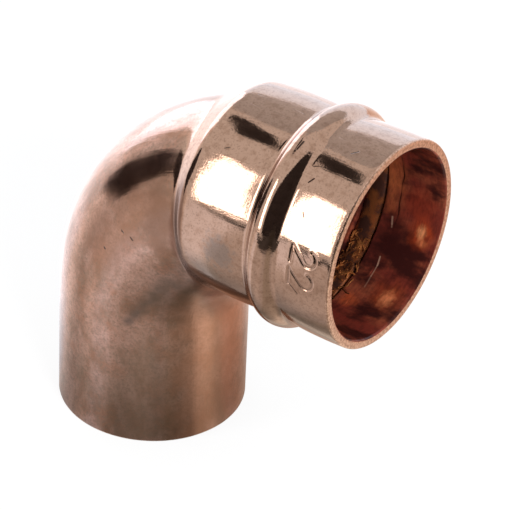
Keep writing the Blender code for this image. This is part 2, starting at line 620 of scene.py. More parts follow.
    def inside_rings(self, turn: np.ndarray) -> tuple[np.ndarray, np.ndarray, np.ndarray]:
        """Gives the inner surface from the bevel of the foot to the bevel of the mouth.

        Args:
            turn: The angles of the sides.

        Returns:
            The stations and, for each, the distances from the centre line and how far a tear is sunk.
        """
        s = self.sizes
        groove_start = s.station(s.bead_x - self.groove_reach)
        groove_end = s.station(s.bead_x + self.groove_reach)
        tears_start = s.station(self.tears[0].x - self.tear_reach)
        tears_end = s.station(self.tears[0].x + self.tear_reach)
        shoulder_start = s.spigot_length + s.bend_radius * math.radians(50)
        stops = [
            (s.end_bevel, 1.6),
            (s.spigot_length, 1.0),
            (shoulder_start, 0.5),
            (s.spigot_length + s.bend_length, 0.8),
            (groove_start, 0.1),
            (groove_end, 0.3),
            (tears_start, 0.05),
            (tears_end, 0.8),
        ]
        station = spaced(stops, s.station(s.mouth_x) - self.lead_in)
        reach = self.reach(station, turn, inside=True)
        x = s.socket_x(station)[:, None]
        around = np.mod(turn, 360)[None, :]
        relief = sum(tear.depth * tear.strength(x, around) for tear in self.tears)
        sunk = sum(tear.strength(x, around) for tear in self.tears if tear.depth > 0)
        return station, reach + relief, np.clip(sunk, 0, 1)

    def rim(
        self, station: float, outward: float, outer: float, inner: float, lead_in: float
    ) -> tuple[np.ndarray, np.ndarray]:
        """Gives the face of a cut end with its two broken edges, from the outer surface to the inner.

        Args:
            station: The station of the cut.
            outward: 1 at the mouth, -1 at the foot.
            outer: The outer radius.
            inner: The inner radius.
            lead_in: The rounding of the inner edge.

        Returns:
            The stations and the distances from the centre line, both one for each ring.
        """
        bevel = self.sizes.end_bevel
        steps = np.radians([22.5, 45, 67.5, 90])
        outer_back = bevel * (1 - np.sin(steps))
        inner_back = lead_in * (1 - np.sin(steps))
        outer_edge = outer - bevel + bevel * np.cos(steps)
        inner_edge = inner + lead_in - lead_in * np.cos(steps)
        middle = np.linspace(outer - bevel, inner + lead_in, 4)[1:-1]
        stations = np.concatenate([outer_back, np.zeros(2), inner_back[::-1]])
        radii = np.concatenate([outer_edge, middle, inner_edge[::-1]])
        return station - outward * stations, radii

    def grid(self) -> bpy.types.Object:
        """Builds the surface as a closed grid that holds its stations, turns and reaches.

        Returns:
            The object, not yet in its place: the bending tree puts it there.
        """
        s = self.sizes
        turn = self.turns()
        out_station, out_reach, out_sunk = self.outside_rings(turn)
        in_station, in_reach, in_sunk = self.inside_rings(turn)
        mouth_radius = float(self.outer_profile(np.array(s.mouth_x)))
        mouth_station, mouth_reach = self.rim(
            s.station(s.mouth_x), 1, mouth_radius, s.bore_radius, self.lead_in
        )
        foot_station, foot_reach = self.rim(0, -1, s.pipe_radius, s.passage_radius, s.end_bevel)
        sides = np.ones(len(turn))
        edge_rings = 2
        station = np.concatenate([out_station, mouth_station, in_station[::-1], foot_station[::-1]])
        reach = np.concatenate(
            [out_reach, np.outer(mouth_reach, sides), in_reach[::-1], np.outer(foot_reach[::-1], sides)]
        )
        mouth_painted_shade = np.zeros((len(mouth_reach), len(turn)))
        # Painted shade on the inner edge of the mouth, laid in with the torn lines' colour.
        mouth_painted_shade[-edge_rings:] = self.lead_in_shade
        foot_flat = np.zeros((len(foot_reach), len(turn)))
        sunk = np.concatenate([out_sunk, mouth_painted_shade, in_sunk[::-1], foot_flat])
        zones = [Zone.OUTSIDE] * (len(out_station) - 1) + [Zone.CUT_END] * (len(mouth_station) - edge_rings)
        zones += [Zone.BORE] * (len(in_station) + edge_rings) + [Zone.CUT_END] * (len(foot_station) + 1)
        return self.closed_grid(station, turn, reach, sunk, zones)

    def closed_grid(
        self, station: np.ndarray, turn: np.ndarray, reach: np.ndarray, sunk: np.ndarray, zones: list[Zone]
    ) -> bpy.types.Object:
        """Joins rings of points into one closed mesh.

        Args:
            station: One station for each ring.
            turn: One angle for each side.
            reach: The distance of each point from the centre line.
            sunk: How deep each point lies in a struck or torn line, from 0 to 1, and on the mouth's inner
                edge how much painted shade darkens it.
            zones: The zone of the faces between each ring and the next, round to the first again.

        Returns:
            The object, with point attributes station, turn, reach and sunk and a face attribute zone.
        """
        rings, count = reach.shape
        ring, side = np.meshgrid(np.arange(rings), np.arange(count), indexing="ij")
        after = (ring + 1) % rings
        beside = (side + 1) % count
        corners = [ring * count + side, after * count + side, after * count + beside, ring * count + beside]
        faces = np.stack(corners, axis=-1).reshape(-1, 4)
        points = np.stack([station[ring], turn[side], reach], axis=-1).reshape(-1, 3) * MM
        mesh = bpy.data.meshes.new("elbow_body_skin")
        mesh.from_pydata(points.tolist(), [], faces.tolist())
        columns = {
            "station": np.repeat(station, count) * MM,
            "turn": np.radians(np.tile(turn, rings)),
            "reach": reach.ravel() * MM,
            "sunk": sunk.ravel(),
        }
        for name, values in columns.items():
            mesh.attributes.new(name, "FLOAT", "POINT").data.foreach_set("value", values.astype(np.float32))
        zone = np.repeat(np.array(zones, dtype=np.int32), count)
        mesh.attributes.new("zone", "INT", "FACE").data.foreach_set("value", zone)
        return link_object("elbow_body_skin", mesh)

    def places(self, tree: bpy.types.NodeTree) -> tuple[bpy.types.NodeSocket, bpy.types.NodeSocket]:
        """Adds the nodes that work out where each point of the grid lies.

        Args:
            tree: The tree that bends the grid.

        Returns:
            The place round the bent centre line, and the place as if the tube were straight.
        """
        sizes = tree.nodes["Group Input"].outputs
        read = {
            name: add_node(tree, "GeometryNodeInputNamedAttribute", {"Name": name}).outputs[0]
            for name in ("station", "turn", "reach")
        }
        length, radius = sizes["Spigot length"], sizes["Bend radius"]
        straight = add_node(tree, "ShaderNodeMath", {0: read["station"], 1: length}, operation="MINIMUM")
        past = add_node(tree, "ShaderNodeMath", {0: read["station"], 1: length}, operation="SUBTRACT")
        turned = add_node(tree, "ShaderNodeMath", {0: past.outputs[0], 1: radius}, operation="DIVIDE")
        bent = add_node(tree, "ShaderNodeClamp", {"Value": turned.outputs[0], "Min": 0.0, "Max": math.pi / 2})
        rest = add_node(tree, "ShaderNodeMath", {0: turned.outputs[0], 1: math.pi / 2}, operation="SUBTRACT")
        over = add_node(tree, "ShaderNodeMath", {0: rest.outputs[0], 1: 0.0}, operation="MAXIMUM")
        cosine = add_node(tree, "ShaderNodeMath", {0: bent.outputs[0]}, operation="COSINE").outputs[0]
        sine = add_node(tree, "ShaderNodeMath", {0: bent.outputs[0]}, operation="SINE").outputs[0]
        versine = add_node(tree, "ShaderNodeMath", {0: 1.0, 1: cosine}, operation="SUBTRACT")
        arc_x = add_node(tree, "ShaderNodeMath", {0: versine.outputs[0], 1: over.outputs[0]}, operation="ADD")
        centre_x = add_node(tree, "ShaderNodeMath", {0: arc_x.outputs[0], 1: radius}, operation="MULTIPLY")
        centre_z = add_node(
            tree, "ShaderNodeMath", {0: sine, 1: radius, 2: straight.outputs[0]}, operation="MULTIPLY_ADD"
        )
        round_cos = add_node(tree, "ShaderNodeMath", {0: read["turn"]}, operation="COSINE").outputs[0]
        round_sin = add_node(tree, "ShaderNodeMath", {0: read["turn"]}, operation="SINE").outputs[0]
        side = add_node(tree, "ShaderNodeMath", {0: round_cos, 1: read["reach"]}, operation="MULTIPLY")
        back = add_node(tree, "ShaderNodeMath", {0: round_sin, 1: read["reach"]}, operation="MULTIPLY")
        y = add_node(tree, "ShaderNodeMath", {0: 0.0, 1: side.outputs[0]}, operation="SUBTRACT")
        lean = add_node(tree, "ShaderNodeMath", {0: back.outputs[0], 1: cosine}, operation="MULTIPLY")
        x = add_node(
            tree, "ShaderNodeMath", {0: centre_x.outputs[0], 1: lean.outputs[0]}, operation="SUBTRACT"
        )
        z = add_node(
            tree,
            "ShaderNodeMath",
            {0: back.outputs[0], 1: sine, 2: centre_z.outputs[0]},
            operation="MULTIPLY_ADD",
        )
        place = add_node(
            tree, "ShaderNodeCombineXYZ", {"X": x.outputs[0], "Y": y.outputs[0], "Z": z.outputs[0]}
        )
        straightened = add_node(
            tree,
            "ShaderNodeCombineXYZ",
            {"X": side.outputs[0], "Y": back.outputs[0], "Z": read["station"]},
        )
        return place.outputs[0], straightened.outputs[0]

    def bending_tree(self, materials: dict[Zone, bpy.types.Material]) -> bpy.types.NodeTree:
        """Builds the tree that lays the grid round the bent centre line and gives each zone its finish.

        Args:
            materials: The finish of each zone.

        Returns:
            The tree.
        """
        tree = new_geometry_tree(
            "lay_round_the_bend",
            {"Spigot length": 0.0, "Bend radius": 0.0, "Ripple height": 0.0, "Ripple scale": 0.0},
        )
        sizes = tree.nodes["Group Input"].outputs
        place, straightened = self.places(tree)
        stored = add_node(
            tree,
            "GeometryNodeStoreNamedAttribute",
            {"Geometry": sizes["Geometry"], "Name": "unbent", "Value": straightened},
            data_type="FLOAT_VECTOR",
            domain="POINT",
        )
        laid = add_node(tree, "GeometryNodeSetPosition", {"Geometry": stored.outputs[0], "Position": place})
        noise = add_node(tree, "ShaderNodeTexNoise", {"Scale": sizes["Ripple scale"], "Detail": 1.5})
        swing = add_node(tree, "ShaderNodeMath", {0: noise.outputs[0], 1: 0.5}, operation="SUBTRACT")
        height = add_node(
            tree, "ShaderNodeMath", {0: swing.outputs[0], 1: sizes["Ripple height"]}, operation="MULTIPLY"
        )
        normal = add_node(tree, "GeometryNodeInputNormal")
        offset = add_node(
            tree,
            "ShaderNodeVectorMath",
            {0: normal.outputs[0], "Scale": height.outputs[0]},
            operation="SCALE",
        )
        rippled = add_node(
            tree, "GeometryNodeSetPosition", {"Geometry": laid.outputs[0], "Offset": offset.outputs[0]}
        )
        smooth = add_node(tree, "GeometryNodeSetShadeSmooth", {"Geometry": rippled.outputs[0]})
        shown = add_node(tree, "GeometryNodeRealizeInstances", {"Geometry": smooth.outputs[0]}).outputs[0]
        zone = add_node(tree, "GeometryNodeInputNamedAttribute", {"Name": "zone"}, data_type="INT")
        for key, material in materials.items():
            chosen = add_node(
                tree,
                "FunctionNodeCompare",
                {2: zone.outputs[0], 3: int(key)},
                data_type="INT",
                operation="EQUAL",
            )
            shown = add_node(
                tree,
                "GeometryNodeSetMaterial",
                {"Geometry": shown, "Selection": chosen.outputs[0], "Material": material},
            ).outputs[0]
        tree.links.new(shown, tree.nodes["Group Output"].inputs[0])
        return tree

    def build(self, materials: dict[Zone, bpy.types.Material]) -> bpy.types.Object:
        """Builds and dresses the elbow's body.

        Args:
            materials: The finish of each zone.

        Returns:
            The finished piece, riding in place of its plain solid.
        """
        piece = self.grid()
        for zone in Zone:
            piece.data.materials.append(materials[zone])
        sizes = {
            "Spigot length": self.sizes.spigot_length * MM,
            "Bend radius": self.sizes.bend_radius * MM,
            "Ripple height": self.ripple_height * MM,
            "Ripple scale": 1 / (self.ripple_size * MM),
        }
        run_tree(piece, self.bending_tree(materials), sizes)
        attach(piece, "root")
        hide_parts("elbow_body")
        return piece


def cloud_mask(
    tree: bpy.types.NodeTree,
    place: bpy.types.NodeSocket,
    size: float,
    start: float,
    full: float,
    stretch: tuple[float, float, float] = (1.0, 1.0, 1.0),
) -> bpy.types.NodeSocket:
    """Makes a mask of soft clouds.

    Args:
        tree: The shader tree.
        place: Coordinates in metres.
        size: The size of a cloud in millimetres.
        start: The noise value where a cloud starts.
        full: The noise value where it is full.
        stretch: How much finer than its size the cloud is along each axis.

    Returns:
        A value from 0 to 1.
    """
    scale = tuple(s / (size * MM) for s in stretch)
    scaled = add_node(tree, "ShaderNodeVectorMath", {0: place, 1: scale}, operation="MULTIPLY")
    noise = add_node(
        tree,
        "ShaderNodeTexNoise",
        {"Vector": scaled.outputs[0], "Scale": 1.0, "Detail": 4.0, "Roughness": 0.6},
    )
    return add_node(
        tree,
        "ShaderNodeMapRange",
        {"Value": noise.outputs[0], "From Min": start, "From Max": full},
        interpolation_type="SMOOTHSTEP",
    ).outputs[0]


def lay_over(
    tree: bpy.types.NodeTree,
    under: bpy.types.NodeSocket | tuple[float, float, float, float],
    mask: bpy.types.NodeSocket,
    colour: str,
    amount: float = 1.0,
) -> bpy.types.NodeSocket:
    """Lays a layer of colour over another where a mask says.

    Args:
        tree: The shader tree.
        under: The colour under the layer.
        mask: Where the layer lies, from 0 to 1.
        colour: The layer's own colour.
        amount: How well the layer covers where its mask is full.

    Returns:
        The mixed colour.
    """
    if amount < 1:
        mask = add_node(tree, "ShaderNodeMath", {0: mask, 1: amount}, operation="MULTIPLY").outputs[0]
    return add_node(
        tree, "ShaderNodeMix", {0: mask, 6: under, 7: linear(colour)}, data_type="RGBA"
    ).outputs[2]


@dataclass(frozen=True)
class StainOrPaintedLight:
    """A soft, ragged patch of another colour, used for real stains and for painted shade and painted glints.

    Attributes:
        centre: Its middle.
        radii: How far it reaches along each axis.
        colour: Its colour.
        amount: How well it covers in its middle.
        ragged: How far its edge wanders, as a share of its radii.
        grain: The size of the wandering.
        core: The share of the radii that is fully covered.
    """

    centre: tuple[float, float, float]
    radii: tuple[float, float, float]
    colour: str
    amount: float
    ragged: float = 0.9
    grain: float = 1.6
    core: float = 0.4

    def mask(self, tree: bpy.types.NodeTree, place: bpy.types.NodeSocket) -> bpy.types.NodeSocket:
        """Makes the patch's mask.

        Args:
            tree: The shader tree.
            place: Object coordinates in metres.

        Returns:
            How much of the patch covers each place.
        """
        centre = tuple(v * MM for v in self.centre)
        radii = tuple(v * MM for v in self.radii)
        offset = add_node(tree, "ShaderNodeVectorMath", {0: place, 1: centre}, operation="SUBTRACT")
        scaled = add_node(tree, "ShaderNodeVectorMath", {0: offset.outputs[0], 1: radii}, operation="DIVIDE")
        away = add_node(tree, "ShaderNodeVectorMath", {0: scaled.outputs[0]}, operation="LENGTH")
        noise = add_node(
            tree, "ShaderNodeTexNoise", {"Vector": place, "Scale": 1 / (self.grain * MM), "Detail": 4.0}
        )
        swing = add_node(
            tree,
            "ShaderNodeMath",
            {0: noise.outputs[0], 1: self.ragged, 2: -self.ragged / 2},
            operation="MULTIPLY_ADD",
        )
        edge = add_node(
            tree, "ShaderNodeMath", {0: away.outputs["Value"], 1: swing.outputs[0]}, operation="ADD"
        )
        return add_node(
            tree,
            "ShaderNodeMapRange",
            {"Value": edge.outputs[0], "From Min": 1.1, "From Max": self.core, "To Max": self.amount},
            interpolation_type="SMOOTHSTEP",
        ).outputs[0]

    def cover(
        self, tree: bpy.types.NodeTree, place: bpy.types.NodeSocket, colour: bpy.types.NodeSocket
    ) -> bpy.types.NodeSocket:
        """Lays the patch over a colour.

        Args:
            tree: The shader tree.
            place: Object coordinates in metres.
            colour: The colour under the patch.

        Returns:
            The colour with the patch laid over it.
        """
        return lay_over(tree, colour, self.mask(tree, place), self.colour)


@dataclass(frozen=True)
class ScratchOrGlint:
    """A short straight line, used for nicks in the surface and for painted glints."""

    start: tuple[float, float, float]
    end: tuple[float, float, float]
    width: float
    amount: float = 1.0

    def mask(self, tree: bpy.types.NodeTree, place: bpy.types.NodeSocket) -> bpy.types.NodeSocket:
        """Makes the line's mask, full along its middle.

        Args:
            tree: The shader tree.
            place: Object coordinates in metres.

        Returns:
            A value from 0 to 1.
        """
        start = Vector(self.start) * MM
        line = (Vector(self.end) - Vector(self.start)) * MM
        offset = add_node(tree, "ShaderNodeVectorMath", {0: place, 1: tuple(start)}, operation="SUBTRACT")
        along = add_node(
            tree,
            "ShaderNodeVectorMath",
            {0: offset.outputs[0], 1: tuple(line / line.length_squared)},
            operation="DOT_PRODUCT",
        )
        share = add_node(tree, "ShaderNodeClamp", {"Value": along.outputs["Value"]})
        nearest = add_node(
            tree, "ShaderNodeVectorMath", {0: tuple(line), "Scale": share.outputs[0]}, operation="SCALE"
        )
        away = add_node(
            tree, "ShaderNodeVectorMath", {0: offset.outputs[0], 1: nearest.outputs[0]}, operation="DISTANCE"
        )
        return add_node(
            tree,
            "ShaderNodeMapRange",
            {
                "Value": away.outputs["Value"],
                "From Min": self.width * MM,
                "From Max": 0.3 * self.width * MM,
                "To Max": self.amount,
            },
        ).outputs[0]


@dataclass(frozen=True)
class FormedCopper:
    """The outside of the tube: drawn copper, rolled bright at the socket and left satin elsewhere.

    The bright part mirrors the studio sharply. The satin part is pink, with brown and grey clouds of handling
    and age, and mirrors it as soft upright bands. The pores and the grain are finer on the real tube, and are
    drawn 0.22 mm wide so that they show in the render.
    """

    polished: str = "#B5937F"
    tanned: str = "#A5836F"
    satin: str = "#BA9484"
    brown: str = "#94705C"
    mouldy: str = "#8B7868"
    rusty: str = "#A9755A"
    pitted: str = "#6E5344"
    dirt: str = "#2B1F1A"
    polished_roughness: float = 0.06
    bend_roughness: float = 0.12
    spigot_roughness: float = 0.21
    grain_size: float = 0.22
    rolled_from: tuple[float, float] = (20.4, 22.8)
    rolled_lean: float = 0.29
    # Real stains, and the painted shade of the bend and of the shoulder's root.
    stains: tuple[StainOrPaintedLight, ...] = ()
    scratches: tuple[ScratchOrGlint, ...] = ()

    def material(self) -> bpy.types.Material:
        """Builds the material.

        Returns:
            The material, reading object coordinates and the attributes unbent and sunk.
        """
        material, tree, shader = new_material("drawn_copper_polished_and_satin")
        place = add_node(tree, "ShaderNodeTexCoord").outputs["Object"]
        unbent = add_node(tree, "ShaderNodeAttribute", attribute_name="unbent").outputs["Vector"]
        rolled = self.rolled_mask(tree, place)
        marks = self.marks(tree, place)
        draw_lines = cloud_mask(tree, unbent, 0.5, 0.35, 0.7, (1.0, 1.0, 0.05))
        colour = self.colour(tree, place, unbent, rolled, draw_lines)
        # Lays the stains and the painted shade.
        for stain in self.stains:
            colour = stain.cover(tree, place, colour)
        colour = lay_over(tree, colour, marks, self.dirt)
        shader.inputs["Metallic"].default_value = 1.0
        tree.links.new(colour, shader.inputs["Base Color"])
        tree.links.new(self.roughness(tree, place, rolled, draw_lines), shader.inputs["Roughness"])
        tree.links.new(self.bump(tree, place, marks, draw_lines), shader.inputs["Normal"])
        return material

    def rolled_mask(self, tree: bpy.types.NodeTree, place: bpy.types.NodeSocket) -> bpy.types.NodeSocket:
        """Masks the shoulder and the socket, which were rolled and polished after the tube was bent.

        Args:
            tree: The shader tree.
            place: Object coordinates in metres.

        Returns:
            1 on the rolled part, with a ragged edge across the end of the bend.
        """
        along = add_node(
            tree, "ShaderNodeVectorMath", {0: place, 1: (1.0, 0.0, self.rolled_lean)}, operation="DOT_PRODUCT"
        ).outputs["Value"]
        wobble = add_node(
            tree, "ShaderNodeTexNoise", {"Vector": place, "Scale": 1 / (2.5 * MM), "Detail": 3.0}
        )
        edge = add_node(
            tree, "ShaderNodeMath", {0: wobble.outputs[0], 1: 3 * MM, 2: along}, operation="MULTIPLY_ADD"
        )
        start, full = self.rolled_from
        return add_node(
            tree,
            "ShaderNodeMapRange",
            {"Value": edge.outputs[0], "From Min": start * MM, "From Max": full * MM},
            interpolation_type="SMOOTHSTEP",
        ).outputs[0]

    def marks(self, tree: bpy.types.NodeTree, place: bpy.types.NodeSocket) -> bpy.types.NodeSocket:
        """Masks the struck numerals and the nicks.

        Args:
            tree: The shader tree.
            place: Object coordinates in metres.

        Returns:
            How much dirt each place holds, from 0 to 1.
        """
        total = add_node(tree, "ShaderNodeAttribute", attribute_name="sunk").outputs["Fac"]
        total = add_node(tree, "ShaderNodeMath", {0: total, 1: 0.35}, operation="MULTIPLY").outputs[0]
        for scratch in self.scratches:
            total = add_node(
                tree, "ShaderNodeMath", {0: total, 1: scratch.mask(tree, place)}, operation="MAXIMUM"
            ).outputs[0]
        return total

    def colour(
        self,
        tree: bpy.types.NodeTree,
        place: bpy.types.NodeSocket,
        unbent: bpy.types.NodeSocket,
        rolled: bpy.types.NodeSocket,
        draw_lines: bpy.types.NodeSocket,
    ) -> bpy.types.NodeSocket:
        """Mixes the colour: a pinkish satin with brown and mouldy clouds, and a cleaner tan on the socket.

        Args:
            tree: The shader tree.
            place: Object coordinates in metres.
            unbent: The same as if the tube were straight.
            rolled: The mask of the rolled part.
            draw_lines: The mask of the draw lines.

        Returns:
            The colour under the stains and the painted shade.
        """
        clouds = cloud_mask(tree, unbent, 3.6, 0.38, 0.66, (1.0, 1.0, 0.6))
        mould = cloud_mask(tree, unbent, 5.0, 0.52, 0.95, (1.0, 1.0, 0.6))
        rust = cloud_mask(tree, place, 3.0, 0.5, 0.68)
        mottle = cloud_mask(tree, place, 0.8, 0.46, 0.68)
        speckle = cloud_mask(tree, place, 0.4, 0.44, 0.64)
        pores = cloud_mask(tree, place, self.grain_size, 0.52, 0.66)
        satin = lay_over(tree, linear(self.satin), clouds, self.brown)
        satin = lay_over(tree, satin, mould, self.mouldy)
        satin = lay_over(tree, satin, rust, self.rusty, 0.4)
        satin = lay_over(tree, satin, mottle, self.pitted, 0.22)
        satin = lay_over(tree, satin, speckle, self.mouldy, 0.36)
        tan = lay_over(tree, linear(self.polished), mottle, self.tanned)
        tan = lay_over(tree, tan, draw_lines, self.brown, 0.12)
        both = add_node(tree, "ShaderNodeMix", {0: rolled, 6: satin, 7: tan}, data_type="RGBA").outputs[2]
        return lay_over(tree, both, pores, self.pitted, 0.35)

    def roughness(
        self,
        tree: bpy.types.NodeTree,
        place: bpy.types.NodeSocket,
        rolled: bpy.types.NodeSocket,
        draw_lines: bpy.types.NodeSocket,
    ) -> bpy.types.NodeSocket:
        """Gives the roughness, low on the rolled socket and higher and uneven on the rest.

        Args:
            tree: The shader tree.
            place: Object coordinates in metres.
            rolled: The mask of the rolled part.
            draw_lines: The mask of the draw lines.

        Returns:
            The roughness.
        """
        uneven = cloud_mask(tree, place, 2.2, 0.35, 0.7)
        height = add_node(tree, "ShaderNodeSeparateXYZ", {0: place}).outputs["Z"]
        worn = add_node(
            tree,
            "ShaderNodeMapRange",
            {
                "Value": height,
                "From Min": 10 * MM,
                "From Max": 30 * MM,
                "To Min": self.spigot_roughness,
                "To Max": self.bend_roughness,
            },
        ).outputs[0]
        satin = add_node(
            tree, "ShaderNodeMath", {0: uneven, 1: 0.06, 2: worn}, operation="MULTIPLY_ADD"
        ).outputs[0]
        bright = add_node(
            tree,
            "ShaderNodeMath",
            {0: draw_lines, 1: 0.04, 2: self.polished_roughness},
            operation="MULTIPLY_ADD",
        ).outputs[0]
        return add_node(tree, "ShaderNodeMix", {0: rolled, 2: satin, 3: bright}, data_type="FLOAT").outputs[0]

    def bump(
        self,
        tree: bpy.types.NodeTree,
        place: bpy.types.NodeSocket,
        marks: bpy.types.NodeSocket,
        draw_lines: bpy.types.NodeSocket,
    ) -> bpy.types.NodeSocket:
        """Gives the fine relief: a grain like orange skin, faint draw lines and the nicks.

        Args:
            tree: The shader tree.
            place: Object coordinates in metres.
            marks: The mask of the numerals and the nicks.
            draw_lines: The mask of the draw lines.

        Returns:
            The bent normal.
        """
        grain = add_node(
            tree, "ShaderNodeTexNoise", {"Vector": place, "Scale": 1 / (self.grain_size * MM), "Detail": 2.0}
        )
        skin = add_node(
            tree, "ShaderNodeBump", {"Height": grain.outputs[0], "Strength": 0.35, "Distance": 0.012 * MM}
        )
        lines = add_node(
            tree,
            "ShaderNodeBump",
            {"Height": draw_lines, "Strength": 0.3, "Distance": 0.01 * MM, "Normal": skin.outputs[0]},
        )
        return add_node(
            tree,
            "ShaderNodeBump",
            {"Height": marks, "Strength": 0.6, "Distance": -0.06 * MM, "Normal": lines.outputs[0]},
        ).outputs[0]


@dataclass(frozen=True)
class HeatedBore:
    """The inside: copper reddened by heat, so that it shines dark red and orange out of a matt oxide."""

    orange: str = "#AA583E"
    red: str = "#88392D"
    dark: str = "#421D1A"
    # Also the colour of the painted shade on the mouth's inner edge.
    torn: str = "#0A0404"
    # The colour of the painted glints.
    light: str = "#C99C84"
    metallic: float = 0.55
    glints: tuple[ScratchOrGlint, ...] = ()
    # Painted glints and painted shade, laid into the colour as glowing and dark patches.
    stains: tuple[StainOrPaintedLight, ...] = ()

    def material(self) -> bpy.types.Material:
        """Builds the material.

        Returns:
            The material, reading object coordinates and the attribute sunk.
        """
        material, tree, shader = new_material("heat_reddened_copper_bore")
        place = add_node(tree, "ShaderNodeTexCoord").outputs["Object"]
        glow = cloud_mask(tree, place, 4.5, 0.42, 0.66, (0.6, 1.0, 1.0))
        soot = cloud_mask(tree, place, 3.5, 0.42, 0.62, (0.6, 1.1, 1.1))
        fine = cloud_mask(tree, place, 0.8, 0.4, 0.7)
        rings = cloud_mask(tree, place, 0.6, 0.4, 0.66, (2.0, 0.6, 0.6))
        colour = lay_over(tree, linear(self.red), glow, self.orange)
        colour = lay_over(tree, colour, soot, self.dark)
        # Lays the painted glints and the painted shade over the heat colours.
        for stain in self.stains:
            colour = stain.cover(tree, place, colour)
        colour = lay_over(tree, colour, rings, self.dark, 0.4)
        # The attribute also holds the painted shade of the mouth's inner edge.
        sunk = add_node(tree, "ShaderNodeAttribute", attribute_name="sunk").outputs["Fac"]
        colour = lay_over(tree, colour, sunk, self.torn)
        roughness = add_node(tree, "ShaderNodeMapRange", {"Value": fine, "To Min": 0.28, "To Max": 0.42})
        bump = add_node(tree, "ShaderNodeBump", {"Height": fine, "Strength": 0.4, "Distance": 0.02 * MM})
        # Painted glints along thin threads.
        for glint in self.glints:
            colour = lay_over(tree, colour, glint.mask(tree, place), self.light)
        shader.inputs["Metallic"].default_value = self.metallic
        shader.inputs["Specular IOR Level"].default_value = 0.2
        tree.links.new(colour, shader.inputs["Base Color"])
        tree.links.new(roughness.outputs[0], shader.inputs["Roughness"])
        tree.links.new(bump.outputs[0], shader.inputs["Normal"])
        return material


@dataclass(frozen=True)
class ShearedEdge:
    """The two cut ends: bare copper, torn rather than polished, so that it glitters in fine specks.

    The specks are finer on the real edge, and are drawn 0.35 mm wide so that they show in the render.
    """

    bright: str = "#DEB69F"
    brown: str = "#B08974"
    speck_size: float = 0.35

    def material(self) -> bpy.types.Material:
        """Builds the material.

        Returns:
            The material, reading object coordinates.
        """
        material, tree, shader = new_material("sheared_copper_edge")
        place = add_node(tree, "ShaderNodeTexCoord").outputs["Object"]
        specks = cloud_mask(tree, place, self.speck_size, 0.38, 0.62)
        colour = lay_over(tree, linear(self.bright), specks, self.brown)
        bump = add_node(tree, "ShaderNodeBump", {"Height": specks, "Strength": 0.5, "Distance": 0.03 * MM})
        shader.inputs["Metallic"].default_value = 1.0
        shader.inputs["Roughness"].default_value = 0.34
        tree.links.new(colour, shader.inputs["Base Color"])
        tree.links.new(bump.outputs[0], shader.inputs["Normal"])
        return material


@dataclass(frozen=True)
class FluxedSolder:
    """Soft solder gone dull under dried flux, which stains its grey with gold where it is thick."""

    name: str
    grey: str
    gold: str
    metallic: float = 0.7

    def material(self) -> bpy.types.Material:
        """Builds the material.

        Returns:
            The material, reading object coordinates.
        """
        material, tree, shader = new_material(self.name)
        place = add_node(tree, "ShaderNodeTexCoord").outputs["Object"]
        flux = cloud_mask(tree, place, 1.8, 0.42, 0.6)
        colour = lay_over(tree, linear(self.grey), flux, self.gold)
        roughness = add_node(tree, "ShaderNodeMapRange", {"Value": flux, "To Min": 0.36, "To Max": 0.18})
        shader.inputs["Metallic"].default_value = self.metallic
        tree.links.new(colour, shader.inputs["Base Color"])
        tree.links.new(roughness.outputs[0], shader.inputs["Roughness"])
        return material


